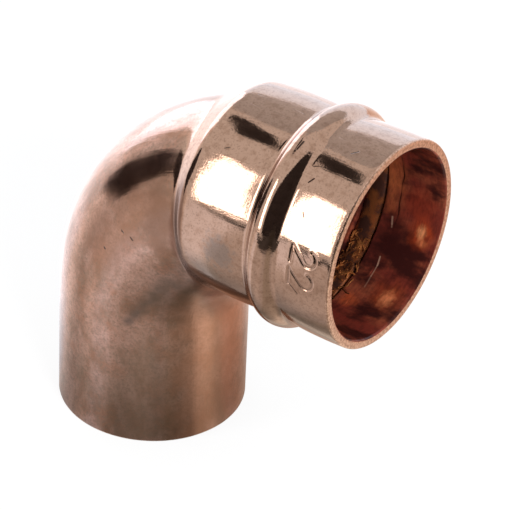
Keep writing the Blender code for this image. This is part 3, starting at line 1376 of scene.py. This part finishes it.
@dataclass
class SolderRing:
    """The split ring of flat solder wire in the bead's groove, with the crumbs that flux left beside it."""

    sizes: ElbowSizes
    sides: int = 20
    steps: int = 160
    crumbs: int = 78
    crumb_length: float = 0.9
    crumb_radius: float = 0.1
    crumb_points: int = 22
    crumb_scales: tuple[float, float] = (0.4, 1.3)
    curl_size: float = 1.1
    curl_reach: float = 2.6
    crumbs_from: float = 21.4
    crumbs_to: float = 23.9
    crumbs_from_turn: float = 220.0
    crumbs_to_turn: float = 266.0
    seed: int = 7

    def named_sizes(self) -> dict[str, float]:
        """Gives the inputs of the ring's tree.

        Returns:
            Their values by name, lengths in metres and angles in radians.
        """
        s = self.sizes
        outer = s.groove_radius - s.ring_clearance
        inner = s.bore_radius
        middle = (outer + inner) / 2
        return {
            "Radius": middle * MM,
            "Thickness": (outer - inner) * MM,
            "Width": s.ring_width * MM,
            "Half split": s.ring_split / 2 / middle,
            "Place": s.bead_x * MM,
            "Axis height": s.axis_height * MM,
            "Bore radius": s.bore_radius * MM,
            "Crumb length": self.crumb_length * MM,
            "Crumb radius": self.crumb_radius * MM,
            "Crumb points": self.crumb_points,
            "Smallest crumb": self.crumb_scales[0],
            "Largest crumb": self.crumb_scales[1],
            "Curl scale": 1 / (self.curl_size * MM),
            "Curl reach": self.curl_reach * MM,
            "Crumbs from": self.crumbs_from * MM,
            "Crumbs to": self.crumbs_to * MM,
            "First turn": math.radians(self.crumbs_from_turn),
            "Last turn": math.radians(self.crumbs_to_turn),
            "Sides": self.sides,
            "Steps": self.steps,
            "Crumbs": self.crumbs,
            "Seed": self.seed,
        }

    def ring(self, tree: bpy.types.NodeTree) -> bpy.types.NodeSocket:
        """Adds the nodes that sweep the wire's flat oval round the groove, open at the split on top.

        Args:
            tree: The ring's tree.

        Returns:
            The ring's mesh.
        """
        sizes = tree.nodes["Group Input"].outputs
        twice = add_node(tree, "ShaderNodeMath", {0: sizes["Half split"], 1: 2.0}, operation="MULTIPLY")
        sweep = add_node(tree, "ShaderNodeMath", {0: 2 * math.pi, 1: twice.outputs[0]}, operation="SUBTRACT")
        start = add_node(tree, "ShaderNodeMath", {0: math.pi, 1: sizes["Half split"]}, operation="ADD")
        route = add_node(
            tree,
            "GeometryNodeCurveArc",
            {
                "Resolution": sizes["Steps"],
                "Radius": sizes["Radius"],
                "Start Angle": start.outputs[0],
                "Sweep Angle": sweep.outputs[0],
            },
        )
        oval = add_node(
            tree, "GeometryNodeCurvePrimitiveCircle", {"Resolution": sizes["Sides"], "Radius": 0.5}
        )
        flat = add_node(
            tree, "ShaderNodeCombineXYZ", {"X": sizes["Thickness"], "Y": sizes["Width"], "Z": 1.0}
        )
        section = add_node(
            tree, "GeometryNodeTransform", {"Geometry": oval.outputs[0], "Scale": flat.outputs[0]}
        )
        wire = add_node(
            tree,
            "GeometryNodeCurveToMesh",
            {"Curve": route.outputs[0], "Profile Curve": section.outputs[0], "Fill Caps": True},
        )
        place = add_node(tree, "ShaderNodeCombineXYZ", {"X": sizes["Place"], "Z": sizes["Axis height"]})
        upright = (0.0, math.pi / 2, 0.0)
        return add_node(
            tree,
            "GeometryNodeTransform",
            {"Geometry": wire.outputs[0], "Translation": place.outputs[0], "Rotation": upright},
        ).outputs[0]

    def crumb_curves(self, tree: bpy.types.NodeTree) -> bpy.types.NodeSocket:
        """Adds the nodes that scatter short curly curves over an unrolled stretch of the bore.

        Args:
            tree: The ring's tree.

        Returns:
            The curves, flat, with x along the socket and y as the turn in radians times the bore's radius.
        """
        sizes = tree.nodes["Group Input"].outputs
        strand = add_node(tree, "ShaderNodeCombineXYZ", {"X": sizes["Crumb length"]})
        line = add_node(tree, "GeometryNodeCurvePrimitiveLine", {"End": strand.outputs[0]})
        resampled = add_node(
            tree, "GeometryNodeResampleCurve", {"Curve": line.outputs[0], "Count": sizes["Crumb points"]}
        )
        first = add_node(
            tree, "ShaderNodeMath", {0: sizes["First turn"], 1: sizes["Bore radius"]}, operation="MULTIPLY"
        )
        last = add_node(
            tree, "ShaderNodeMath", {0: sizes["Last turn"], 1: sizes["Bore radius"]}, operation="MULTIPLY"
        )
        low = add_node(tree, "ShaderNodeCombineXYZ", {"X": sizes["Crumbs from"], "Y": first.outputs[0]})
        high = add_node(tree, "ShaderNodeCombineXYZ", {"X": sizes["Crumbs to"], "Y": last.outputs[0]})
        scattered = add_node(
            tree,
            "FunctionNodeRandomValue",
            {0: low.outputs[0], 1: high.outputs[0], "Seed": sizes["Seed"]},
            data_type="FLOAT_VECTOR",
        )
        points = add_node(
            tree, "GeometryNodePoints", {"Count": sizes["Crumbs"], "Position": scattered.outputs[0]}
        )
        spin = add_node(
            tree,
            "FunctionNodeRandomValue",
            {0: (0.0, 0.0, 0.0), 1: (0.0, 0.0, 2 * math.pi), "Seed": sizes["Seed"]},
            data_type="FLOAT_VECTOR",
        )
        size = add_node(
            tree,
            "FunctionNodeRandomValue",
            {2: sizes["Smallest crumb"], 3: sizes["Largest crumb"], "Seed": sizes["Seed"]},
            data_type="FLOAT",
        )
        strands = add_node(
            tree,
            "GeometryNodeInstanceOnPoints",
            {
                "Points": points.outputs[0],
                "Instance": resampled.outputs[0],
                "Rotation": spin.outputs[0],
                "Scale": size.outputs[1],
            },
        )
        realized = add_node(tree, "GeometryNodeRealizeInstances", {"Geometry": strands.outputs[0]})
        curl = add_node(tree, "ShaderNodeTexNoise", {"Scale": sizes["Curl scale"], "Detail": 2.0})
        centred = add_node(
            tree, "ShaderNodeVectorMath", {0: curl.outputs["Color"], 1: (0.5, 0.5, 0.5)}, operation="SUBTRACT"
        )
        swing = add_node(tree, "ShaderNodeCombineXYZ", {"X": sizes["Curl reach"], "Y": sizes["Curl reach"]})
        push = add_node(
            tree, "ShaderNodeVectorMath", {0: centred.outputs[0], 1: swing.outputs[0]}, operation="MULTIPLY"
        )
        return add_node(
            tree, "GeometryNodeSetPosition", {"Geometry": realized.outputs[0], "Offset": push.outputs[0]}
        ).outputs[0]

    def rolled_crumbs(self, tree: bpy.types.NodeTree) -> bpy.types.NodeSocket:
        """Adds the nodes that roll the flat curves into the bore and give them thickness.

        Args:
            tree: The ring's tree.

        Returns:
            The crumbs' mesh.
        """
        sizes = tree.nodes["Group Input"].outputs
        curves = self.crumb_curves(tree)
        position = add_node(tree, "GeometryNodeInputPosition")
        parts = add_node(tree, "ShaderNodeSeparateXYZ", {0: position.outputs[0]})
        turn = add_node(
            tree, "ShaderNodeMath", {0: parts.outputs["Y"], 1: sizes["Bore radius"]}, operation="DIVIDE"
        )
        cosine = add_node(tree, "ShaderNodeMath", {0: turn.outputs[0]}, operation="COSINE")
        sine = add_node(tree, "ShaderNodeMath", {0: turn.outputs[0]}, operation="SINE")
        side = add_node(
            tree, "ShaderNodeMath", {0: cosine.outputs[0], 1: sizes["Bore radius"]}, operation="MULTIPLY"
        )
        y = add_node(tree, "ShaderNodeMath", {0: 0.0, 1: side.outputs[0]}, operation="SUBTRACT")
        z = add_node(
            tree,
            "ShaderNodeMath",
            {0: sine.outputs[0], 1: sizes["Bore radius"], 2: sizes["Axis height"]},
            operation="MULTIPLY_ADD",
        )
        laid = add_node(
            tree, "ShaderNodeCombineXYZ", {"X": parts.outputs["X"], "Y": y.outputs[0], "Z": z.outputs[0]}
        )
        rolled = add_node(tree, "GeometryNodeSetPosition", {"Geometry": curves, "Position": laid.outputs[0]})
        section = add_node(
            tree, "GeometryNodeCurvePrimitiveCircle", {"Resolution": 8, "Radius": sizes["Crumb radius"]}
        )
        return add_node(
            tree,
            "GeometryNodeCurveToMesh",
            {"Curve": rolled.outputs[0], "Profile Curve": section.outputs[0], "Fill Caps": True},
        ).outputs[0]

    def build(self, solder: bpy.types.Material, flux: bpy.types.Material) -> bpy.types.Object:
        """Builds and dresses the ring.

        Args:
            solder: The finish of the wire.
            flux: The finish of the crumbs.

        Returns:
            The finished piece, riding in place of its plain solid.
        """
        mesh = bpy.data.meshes.new("solder_ring_skin")
        piece = link_object("solder_ring_skin", mesh)
        sizes = self.named_sizes()
        tree = new_geometry_tree("wind_the_ring", sizes)
        joined = add_node(tree, "GeometryNodeJoinGeometry")
        for part, material in ((self.ring(tree), solder), (self.rolled_crumbs(tree), flux)):
            mesh.materials.append(material)
            dressed = add_node(tree, "GeometryNodeSetMaterial", {"Geometry": part, "Material": material})
            tree.links.new(dressed.outputs[0], joined.inputs[0])
        smooth = add_node(tree, "GeometryNodeSetShadeSmooth", {"Geometry": joined.outputs[0]})
        shown = add_node(tree, "GeometryNodeRealizeInstances", {"Geometry": smooth.outputs[0]})
        tree.links.new(shown.outputs[0], tree.nodes["Group Output"].inputs[0])
        run_tree(piece, tree, sizes)
        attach(piece, "root")
        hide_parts("solder_ring")
        return piece


@dataclass(frozen=True)
class Camera:
    """The camera of the photograph, fitted to the elbow's outline."""

    aim: tuple[float, float, float] = (12.21, 2.40, 22.67)
    azimuth: float = 33.92
    elevation: float = 35.06
    roll: float = 2.50
    distance: float = 400.0
    lens: float = 249.0

    def build(self) -> None:
        """Makes the camera and sets it as the scene's own."""
        azimuth, elevation, roll = (math.radians(v) for v in (self.azimuth, self.elevation, self.roll))
        level = Vector((math.sin(azimuth), -math.cos(azimuth), 0))
        back = level * math.cos(elevation) + Vector((0, 0, math.sin(elevation)))
        right = Vector((math.cos(azimuth), math.sin(azimuth), 0))
        up = back.cross(right)
        right, up = (
            right * math.cos(roll) + up * math.sin(roll),
            up * math.cos(roll) - right * math.sin(roll),
        )
        data = bpy.data.cameras.new("camera")
        data.lens = self.lens
        data.sensor_width = 36
        data.clip_start = 0.01
        camera = link_object("camera", data)
        turn = Matrix((right, up, back)).transposed().to_4x4()
        camera.matrix_world = Matrix.Translation((Vector(self.aim) + back * self.distance) * MM) @ turn
        bpy.context.scene.camera = camera


class Surface(Enum):
    """What the soft boxes and flags of the studio are made of."""

    LIT_CLOTH = "lit_cloth"
    DULL_CLOTH = "dull_cloth"
    HIDDEN_CLOTH = "hidden_cloth"


@dataclass(frozen=True)
class Panel:
    """An upright panel round the table that the metal mirrors and the camera doesn't see.

    Attributes:
        name: Its name.
        surface: What it is made of.
        azimuth: Where it stands, as an angle in degrees round the target.
        distance: How far from the target it stands.
        width: How wide it is.
        bottom: The height of its lower edge over the target.
        top: The height of its upper edge.
        lean: How far it is turned in its own plane, in degrees.
        skew: How steeply it is sheared in its own plane.
        corner: How round its outline is, from 0 for a rectangle to 1 for an ellipse.
        strength: How strongly lit cloth glows.
        colour: The colour of its light or its cloth.
    """

    name: str
    surface: Surface
    azimuth: float
    distance: float
    width: float
    bottom: float
    top: float
    lean: float = 0.0
    skew: float = 0.0
    corner: float = 0.4
    strength: float = 1.0
    colour: str = "#FFFFFF"

    def build(self, target: Vector) -> None:
        """Stands the panel up so that it faces the object.

        Args:
            target: The point that it faces and that its heights are counted from, in millimetres.
        """
        azimuth = math.radians(self.azimuth)
        outward = Vector((math.cos(azimuth), math.sin(azimuth), 0))
        sideways = Vector((-math.sin(azimuth), math.cos(azimuth), 0))
        upright = Matrix((sideways, Vector((0, 0, 1)), outward)).transposed()
        turn = upright @ Matrix.Rotation(math.radians(self.lean), 3, "Z")
        middle = target + outward * self.distance + Vector((0, 0, (self.bottom + self.top) / 2))
        data = self.flag() if self.surface is Surface.DULL_CLOTH else self.light()
        panel = link_object(self.name, data)
        panel.matrix_world = Matrix.Translation(middle * MM) @ turn.to_4x4()
        panel.visible_camera = False
        panel.visible_glossy = self.surface is not Surface.HIDDEN_CLOTH
        if self.surface is Surface.DULL_CLOTH:
            panel.visible_diffuse = False
            panel.visible_shadow = False

    def light(self) -> bpy.types.Light:
        """Makes the panel a soft box, whose power grows with its area so that its cloth keeps its glow.

        Returns:
            The lamp.
        """
        light = bpy.data.lights.new(self.name, "AREA")
        light.shape = "RECTANGLE"
        light.size = self.width * MM
        light.size_y = (self.top - self.bottom) * MM
        light.energy = self.strength * math.pi * light.size * light.size_y
        light.color = linear(self.colour)[:3]
        return light

    def flag(self) -> bpy.types.Mesh:
        """Makes the panel a flag of dull cloth with rounded corners.

        Returns:
            The flag's mesh, flat in its own plane.
        """
        mesh = bpy.data.meshes.new(self.name)
        angle = (np.arange(FLAG_CORNERS) + 0.5) * 2 * math.pi / FLAG_CORNERS
        across = np.sign(np.cos(angle)) * np.abs(np.cos(angle)) ** self.corner
        upward = np.sign(np.sin(angle)) * np.abs(np.sin(angle)) ** self.corner
        x = self.width / 2 * MM * across
        y = (self.top - self.bottom) / 2 * MM * upward + self.skew * x
        mesh.from_pydata(np.stack([x, y, 0 * x], axis=1).tolist(), [], [range(FLAG_CORNERS)])
        material, _, shader = new_material(f"{self.surface.value}_of_{self.name}")
        shader.inputs["Base Color"].default_value = linear(self.colour)
        shader.inputs["Roughness"].default_value = 1.0
        mesh.materials.append(material)
        return mesh


class Tint(Enum):
    """The tints of the table's glow, from the window's to that of what stood beside the elbow."""

    SKY = "#F5F7FF"
    PLAIN = "#FFF9F6"
    CREAM = "#FFF7EA"
    PEACH = "#FFE5D6"
    COPPER = "#FFDBC3"


@dataclass(frozen=True)
class Studio:
    """A white table in a white room, with soft boxes and black flags for the metal to mirror.

    Attributes:
        target: The point that the panels face.
        table_size: The side of the square table.
        table_colour: The table's own colour.
        room_light: How strongly the white room lights the object.
        table_glow: How much of the table's white is its own to the camera. The rest holds the shadow.
        foot_shade: Where the shade that the metal finds at the elbow's foot starts and ends.
        foot_shade_level: How much of the glow the shade leaves.
        glow_centre: The upright line round which the glow's angles are counted.
        front_azimuth: The side on which the table ends in the dark.
        front_edge: Where on that side its glow starts and ends to fade.
        front_level: How much of the glow is left past it.
        brightest: The strength that the ramp of the glow can hold at most.
        mirrored_light: The glow's angle in degrees, its strength and its tint, all round the table: shaded
            on the left, bright by the soft box, dark in front, warm on the right, brightest by the window.
    """

    target: tuple[float, float, float] = (14.0, 0.0, 30.0)
    table_size: float = 4000.0
    table_colour: str = "#E6E6E6"
    room_light: float = 1.0
    table_glow: float = 0.85
    foot_shade: tuple[float, float] = (12.0, 34.0)
    foot_shade_level: float = 0.55
    glow_centre: tuple[float, float] = (3.2, -4.5)
    front_azimuth: float = -40.0
    front_edge: tuple[float, float] = (115.0, 160.0)
    front_level: float = 0.12
    brightest: float = 4.0
    mirrored_light: tuple[tuple[float, float, Tint], ...] = (
        (-180, 1.75, Tint.SKY),
        (-172, 1.45, Tint.PLAIN),
        (-164, 1.12, Tint.PLAIN),
        (-155, 0.88, Tint.PLAIN),
        (-145, 0.96, Tint.PLAIN),
        (-135, 1.18, Tint.PLAIN),
        (-124, 1.32, Tint.SKY),
        (-114, 1.42, Tint.SKY),
        (-104, 0.86, Tint.PLAIN),
        (-92, 0.74, Tint.PLAIN),
        (-65, 0.82, Tint.PLAIN),
        (-45, 0.67, Tint.PLAIN),
        (-35, 0.54, Tint.CREAM),
        (-24, 0.5, Tint.CREAM),
        (-8, 0.61, Tint.CREAM),
        (3, 1.15, Tint.CREAM),
        (14, 1.28, Tint.CREAM),
        (26, 0.9, Tint.CREAM),
        (36, 1.05, Tint.PEACH),
        (47, 0.93, Tint.COPPER),
        (66, 0.99, Tint.COPPER),
        (76, 1.05, Tint.PEACH),
        (86, 1.38, Tint.PEACH),
        (107, 1.65, Tint.SKY),
        (140, 2.15, Tint.SKY),
        (160, 2.45, Tint.SKY),
        (180, 1.75, Tint.SKY),
    )

    def build(self) -> None:
        """Makes the table, the room, the soft boxes and the flags."""
        bpy.context.scene.view_settings.view_transform = "Standard"
        self.build_room()
        self.build_table()
        for panel in self.panels():
            panel.build(Vector(self.target))

    def panels(self) -> list[Panel]:
        """Lists the soft boxes and flags, each placed where the photograph shows it mirrored.

        Returns:
            The panels.
        """
        lit, dull = Surface.LIT_CLOTH, Surface.DULL_CLOTH
        black = "#2E2827"
        return [
            Panel("soft_box_front", lit, -123.5, 1500, 450, 80, 1590, lean=12.2, strength=6),
            Panel("window", lit, 152, 1500, 870, -30, 860, strength=3.2, colour="#D6E4FF"),
            Panel("curtain", lit, 172.5, 1500, 220, -30, 900, strength=0.35, colour="#FFDCD2"),
            Panel("soft_box_back", lit, 98, 1500, 2300, -30, 800, strength=1.12, colour="#B4D8FF"),
            Panel("back_wall", dull, 106, 1500, 2900, 800, 3600, corner=0.1, colour="#CED2D6"),
            Panel("flag_left", dull, 197, 219, 94, -46, 100, lean=-20, colour=black),
            Panel("flag_over", dull, 177.5, 500, 265, 715, 1306, lean=-8.5, skew=0.85, colour=black),
            Panel("flag_front", dull, -42, 1500, 4600, -29, 2700, colour=black),
            Panel("bore_fill", Surface.HIDDEN_CLOTH, -30, 600, 250, 200, 450, strength=27),
        ]

    def build_room(self) -> None:
        """Gives the room its even white light."""
        world = bpy.data.worlds.new("white_room")
        world.use_nodes = True
        background = world.node_tree.nodes["Background"]
        background.inputs["Color"].default_value = (1, 1, 1, 1)
        background.inputs["Strength"].default_value = self.room_light
        bpy.context.scene.world = world

    def mirrored_glow(self, tree: bpy.types.NodeTree) -> bpy.types.Node:
        """Adds the table as the metal finds it: dim in front, bright at the window and shaded at the foot.

        A round tube shows its surroundings as if all of them were seen from a line halfway between its
        axis and its skin. The angles of the glow are counted round that line, so that the bands that the
        spigot mirrors stand upright.

        Args:
            tree: The table's shader tree.

        Returns:
            The glowing shader.
        """
        place = add_node(tree, "ShaderNodeTexCoord").outputs["Object"]
        x, y = self.glow_centre
        centred = add_node(
            tree, "ShaderNodeVectorMath", {0: place, 1: (x * MM, y * MM, 0.0)}, operation="SUBTRACT"
        )
        parts = add_node(tree, "ShaderNodeSeparateXYZ", {0: centred.outputs[0]})
        azimuth = add_node(
            tree, "ShaderNodeMath", {0: parts.outputs["Y"], 1: parts.outputs["X"]}, operation="ARCTAN2"
        )
        share = add_node(
            tree,
            "ShaderNodeMapRange",
            {"Value": azimuth.outputs[0], "From Min": -math.pi, "From Max": math.pi},
        )
        ramp = add_node(tree, "ShaderNodeValToRGB", {"Fac": share.outputs[0]})
        ramp.color_ramp.interpolation = "EASE"
        stops = ramp.color_ramp.elements
        while len(stops) < len(self.mirrored_light):
            stops.new(0.5)
        for stop, (angle, strength, tint) in zip(stops, self.mirrored_light):
            stop.position = (angle + 180) / 360
            stop.color = [value * strength / self.brightest for value in linear(tint.value)]
        reach = add_node(tree, "ShaderNodeVectorMath", {0: place}, operation="LENGTH")
        near, far = self.foot_shade
        shade = add_node(
            tree,
            "ShaderNodeMapRange",
            {
                "Value": reach.outputs["Value"],
                "From Min": near * MM,
                "From Max": far * MM,
                "To Min": self.foot_shade_level * self.brightest,
                "To Max": self.brightest,
            },
            interpolation_type="SMOOTHSTEP",
        )
        front = math.radians(self.front_azimuth)
        forward = add_node(
            tree,
            "ShaderNodeVectorMath",
            {0: place, 1: (math.cos(front), math.sin(front), 0.0)},
            operation="DOT_PRODUCT",
        )
        start, end = self.front_edge
        edge = add_node(
            tree,
            "ShaderNodeMapRange",
            {
                "Value": forward.outputs["Value"],
                "From Min": start * MM,
                "From Max": end * MM,
                "To Min": 1.0,
                "To Max": self.front_level,
            },
            interpolation_type="SMOOTHSTEP",
        )
        level = add_node(
            tree, "ShaderNodeMath", {0: shade.outputs[0], 1: edge.outputs[0]}, operation="MULTIPLY"
        )
        return add_node(tree, "ShaderNodeEmission", {"Color": ramp.outputs[0], "Strength": level.outputs[0]})

    def build_table(self) -> None:
        """Makes the table, white to the camera, graded to the metal and with the object's shadow in it."""
        mesh = bpy.data.meshes.new("table")
        half = self.table_size / 2 * MM
        corners = [(-half, -half, 0), (half, -half, 0), (half, half, 0), (-half, half, 0)]
        mesh.from_pydata(corners, [], [(0, 1, 2, 3)])
        table = link_object("table", mesh)
        material, tree, shader = new_material("white_table")
        shader.inputs["Base Color"].default_value = linear(self.table_colour)
        shader.inputs["Roughness"].default_value = 0.9
        path = add_node(tree, "ShaderNodeLightPath").outputs
        seen = add_node(
            tree,
            "ShaderNodeMath",
            {0: path["Is Camera Ray"], 1: path["Is Transmission Ray"]},
            operation="MAXIMUM",
        )
        share = add_node(
            tree, "ShaderNodeMath", {0: seen.outputs[0], 1: self.table_glow}, operation="MULTIPLY"
        )
        white = add_node(tree, "ShaderNodeEmission", {"Color": (1, 1, 1, 1), "Strength": 1.0})
        graded = self.mirrored_glow(tree)
        mirrored = add_node(
            tree,
            "ShaderNodeMixShader",
            {0: path["Is Glossy Ray"], 1: shader.outputs[0], 2: graded.outputs[0]},
        )
        mixed = add_node(
            tree, "ShaderNodeMixShader", {0: share.outputs[0], 1: mirrored.outputs[0], 2: white.outputs[0]}
        )
        tree.links.new(mixed.outputs[0], tree.nodes["Material Output"].inputs["Surface"])
        mesh.materials.append(material)


def stains_and_painted_shade_outside() -> tuple[StainOrPaintedLight, ...]:
    """Lists the stains and the painted shade that the photograph shows on the spigot, the bend and the
    socket.

    Returns:
        The grey streak that runs up into the bend, the brown beside it, the tones of the spigot, the darker
        tones of the bend, partly its own colour and partly painted shade, the painted shade in the root of
        the shoulder and the two grey spots on the socket.
    """
    return (
        StainOrPaintedLight((3.9, -10.3, 16.9), (0.9, 3.0, 0.9), "#5C5450", 0.6, 0.6, 0.8, 0.1),
        StainOrPaintedLight((4.6, -10.2, 17.9), (1.1, 3.0, 1.1), "#5E5650", 0.6, 0.6, 0.8, 0.1),
        StainOrPaintedLight((5.3, -9.9, 19.0), (1.4, 3.0, 1.2), "#5E564E", 0.6, 0.7, 0.8, 0.1),
        StainOrPaintedLight((6.2, -9.7, 20.1), (1.5, 3.0, 1.2), "#5C544C", 0.6, 0.7, 0.8, 0.1),
        StainOrPaintedLight((6.9, -9.7, 21.3), (1.2, 3.0, 1.4), "#5C544C", 0.6, 0.7, 0.8, 0.1),
        StainOrPaintedLight((7.7, -9.6, 22.5), (1.5, 3.0, 1.5), "#5E544A", 0.6, 0.8, 0.8, 0.1),
        StainOrPaintedLight((9.0, -9.4, 23.7), (2.0, 3.0, 1.6), "#62564A", 0.6, 0.8, 0.8, 0.1),
        StainOrPaintedLight((8.0, -8.9, 20.2), (3.6, 3.0, 3.0), "#6E5846", 0.5, 1.1, 1.2, 0.2),
        StainOrPaintedLight((11.0, -7.6, 22.0), (2.6, 3.0, 1.9), "#7E6250", 0.7, 0.8, 1.0, 0.3),
        StainOrPaintedLight((5.5, -9.4, 6.0), (6.0, 6.0, 11.0), "#84705E", 0.45, 0.9, 2.4),
        StainOrPaintedLight((11.0, -3.5, 10.0), (5.5, 8.0, 20.0), "#B5836A", 0.6, 1.1, 2.4),
        # The bend's darker tones: partly its own colour, partly painted shade that dims its reflections.
        StainOrPaintedLight((1.0, -10.5, 27.0), (5.5, 6.0, 5.0), "#96705D", 0.55, 1.1, 2.0),
        StainOrPaintedLight((4.5, -9.5, 34.0), (7.5, 5.0, 6.0), "#96705C", 0.6, 1.1, 2.0),
        StainOrPaintedLight((8.4, -10.6, 32.5), (3.4, 4.0, 6.0), "#80604E", 0.8, 0.9, 2.0),
        # Painted shade in the root of the shoulder, where the bend meets the socket.
        StainOrPaintedLight((10.9, -11.4, 34.0), (1.4, 4.0, 6.5), "#6E4C3C", 0.85, 0.4, 1.2, 0.6),
        StainOrPaintedLight((17.2, -12.1, 33.2), (2.3, 2.5, 2.6), "#7D7470", 0.6, 1.5, 0.8),
        StainOrPaintedLight((15.2, -11.6, 29.5), (2.4, 2.2, 2.4), "#857667", 0.4, 1.3, 0.8),
    )


def painted_glints_and_shade_inside() -> tuple[StainOrPaintedLight, ...]:
    """Lists the dark and the glowing patches that the photograph shows inside the socket: painted shade and
    painted glints of the light that goes round inside the bore.

    Returns:
        The patches, large ones first, because each covers the ones before it.
    """
    return (
        # The first patch is painted shade in the middle of the bore; the rest are painted glints and the
        # painted glow round them.
        StainOrPaintedLight((26.0, 9.0, 27.0), (4.0, 3.5, 3.6), "#3E1917", 0.8, 1.4, 1.6, 0.0),
        StainOrPaintedLight((24.0, 10.8, 34.5), (3.0, 3.0, 6.0), "#C4683F", 0.95, 1.3, 1.6, 0.0),
        StainOrPaintedLight((28.5, 10.6, 31.8), (2.6, 2.5, 2.8), "#A33F2B", 0.7, 0.9),
        StainOrPaintedLight((29.4, 10.0, 28.9), (1.9, 2.4, 2.2), "#C84E28", 0.95, 0.8, 1.2, 0.0),
        StainOrPaintedLight((29.35, 10.0, 29.0), (0.8, 1.2, 1.1), "#FFA870", 1.0, 0.7, 0.5, 0.0),
        StainOrPaintedLight((29.8, 9.3, 28.0), (0.9, 0.9, 0.6), "#F08A58", 0.8, 0.9, 0.5, 0.0),
        StainOrPaintedLight((29.0, 4.4, 23.3), (2.4, 2.8, 1.8), "#A8492A", 0.9, 1.1, 1.2, 0.0),
        StainOrPaintedLight((29.2, 4.0, 23.2), (1.2, 1.9, 0.9), "#FF9A66", 0.8, 1.2, 0.6, 0.0),
        StainOrPaintedLight((25.5, 1.8, 22.7), (1.5, 1.6, 1.3), "#C85A34", 0.85, 1.1, 0.8, 0.0),
    )


def glints_inside() -> tuple[ScratchOrGlint, ...]:
    """Lists the thin bright threads that the photograph shows on the wall of the bore, painted glints laid
    into its colour.

    Returns:
        The threads, piece by piece.
    """
    return (
        ScratchOrGlint((25.7, 7.5, 25.5), (25.9, 6.7, 24.85), 0.13, 0.8),
        ScratchOrGlint((25.9, 6.7, 24.85), (25.9, 5.5, 24.05), 0.1, 0.55),
        ScratchOrGlint((25.9, 5.5, 24.05), (26.0, 4.1, 23.4), 0.12, 0.3),
        ScratchOrGlint((25.3, 10.2, 29.3), (25.5, 9.9, 28.6), 0.16, 0.6),
        ScratchOrGlint((25.5, 9.9, 28.6), (25.6, 9.7, 28.3), 0.12, 0.4),
    )


def nicks(body: ElbowBody) -> tuple[ScratchOrGlint, ...]:
    """Lists the nicks of the socket that the photograph shows.

    Args:
        body: The elbow's body, whose surface they lie on.

    Returns:
        The nicks, each from one place on the socket to another.
    """
    # The place along the socket and the turn of both ends, the width and the amount.
    places = (
        (25.3, 52.0, 25.7, 55.0, 0.09, 1.0),
        (24.8, 61.0, 25.5, 62.5, 0.08, 0.8),
        (22.5, 64.0, 22.6, 69.0, 0.16, 1.0),
        (26.4, -1.0, 27.7, -6.0, 0.07, 0.7),
        (27.6, 76.0, 28.2, 79.0, 0.1, 1.0),
        (26.3, 37.0, 26.6, 35.0, 0.07, 0.8),
        (14.4, 51.5, 14.9, 53.0, 0.09, 0.8),
        (13.2, 91.0, 19.4, 90.0, 0.07, 0.3),
        (13.6, 82.0, 18.4, 82.4, 0.08, 0.3),
        (25.0, 83.5, 31.0, 83.0, 0.07, 0.25),
    )
    on_socket = tuple(
        ScratchOrGlint(body.socket_place(x0, t0), body.socket_place(x1, t1), width, amount)
        for x0, t0, x1, t1, width, amount in places
    )
    on_bend = (
        ScratchOrGlint((3.0, -10.85, 29.4), (3.4, -10.8, 29.1), 0.14),
        ScratchOrGlint((4.4, -11.0, 29.1), (4.8, -10.95, 28.8), 0.1),
        ScratchOrGlint((0.7, -10.85, 26.1), (0.9, -10.8, 25.9), 0.14),
    )
    return on_socket + on_bend


def main() -> None:
    """Builds the elbow, the camera and the studio."""
    logging.basicConfig(level=logging.INFO, format="%(name)s: %(message)s")
    sizes = ElbowSizes()
    tears = (Tear(25.8, 150, 215), Tear(24.0, 174, 206), Tear(25.45, 222, 272, 0.06, -0.06))
    body = ElbowBody(sizes, Stamp(), tears)
    outside = FormedCopper(stains=stains_and_painted_shade_outside(), scratches=nicks(body))
    # The bore's patches are painted glints and painted shade, and its threads are painted glints.
    bore = HeatedBore(stains=painted_glints_and_shade_inside(), glints=glints_inside())
    piece = body.build(
        {Zone.OUTSIDE: outside.material(), Zone.CUT_END: ShearedEdge().material(), Zone.BORE: bore.material()}
    )
    solder = FluxedSolder("soft_solder_under_flux", "#4C2E26", "#8A4E2C", 0.65)
    flux = FluxedSolder("dried_flux_and_solder_crumbs", "#6E3E26", "#D88A50", 0.75)
    ring = SolderRing(sizes).build(solder.material(), flux.material())
    for skin in (piece, ring):
        LOG.info("%s: %d faces", skin.name, len(skin.data.polygons))
    Camera().build()
    Studio().build()


if __name__ == "__main__":
    main()
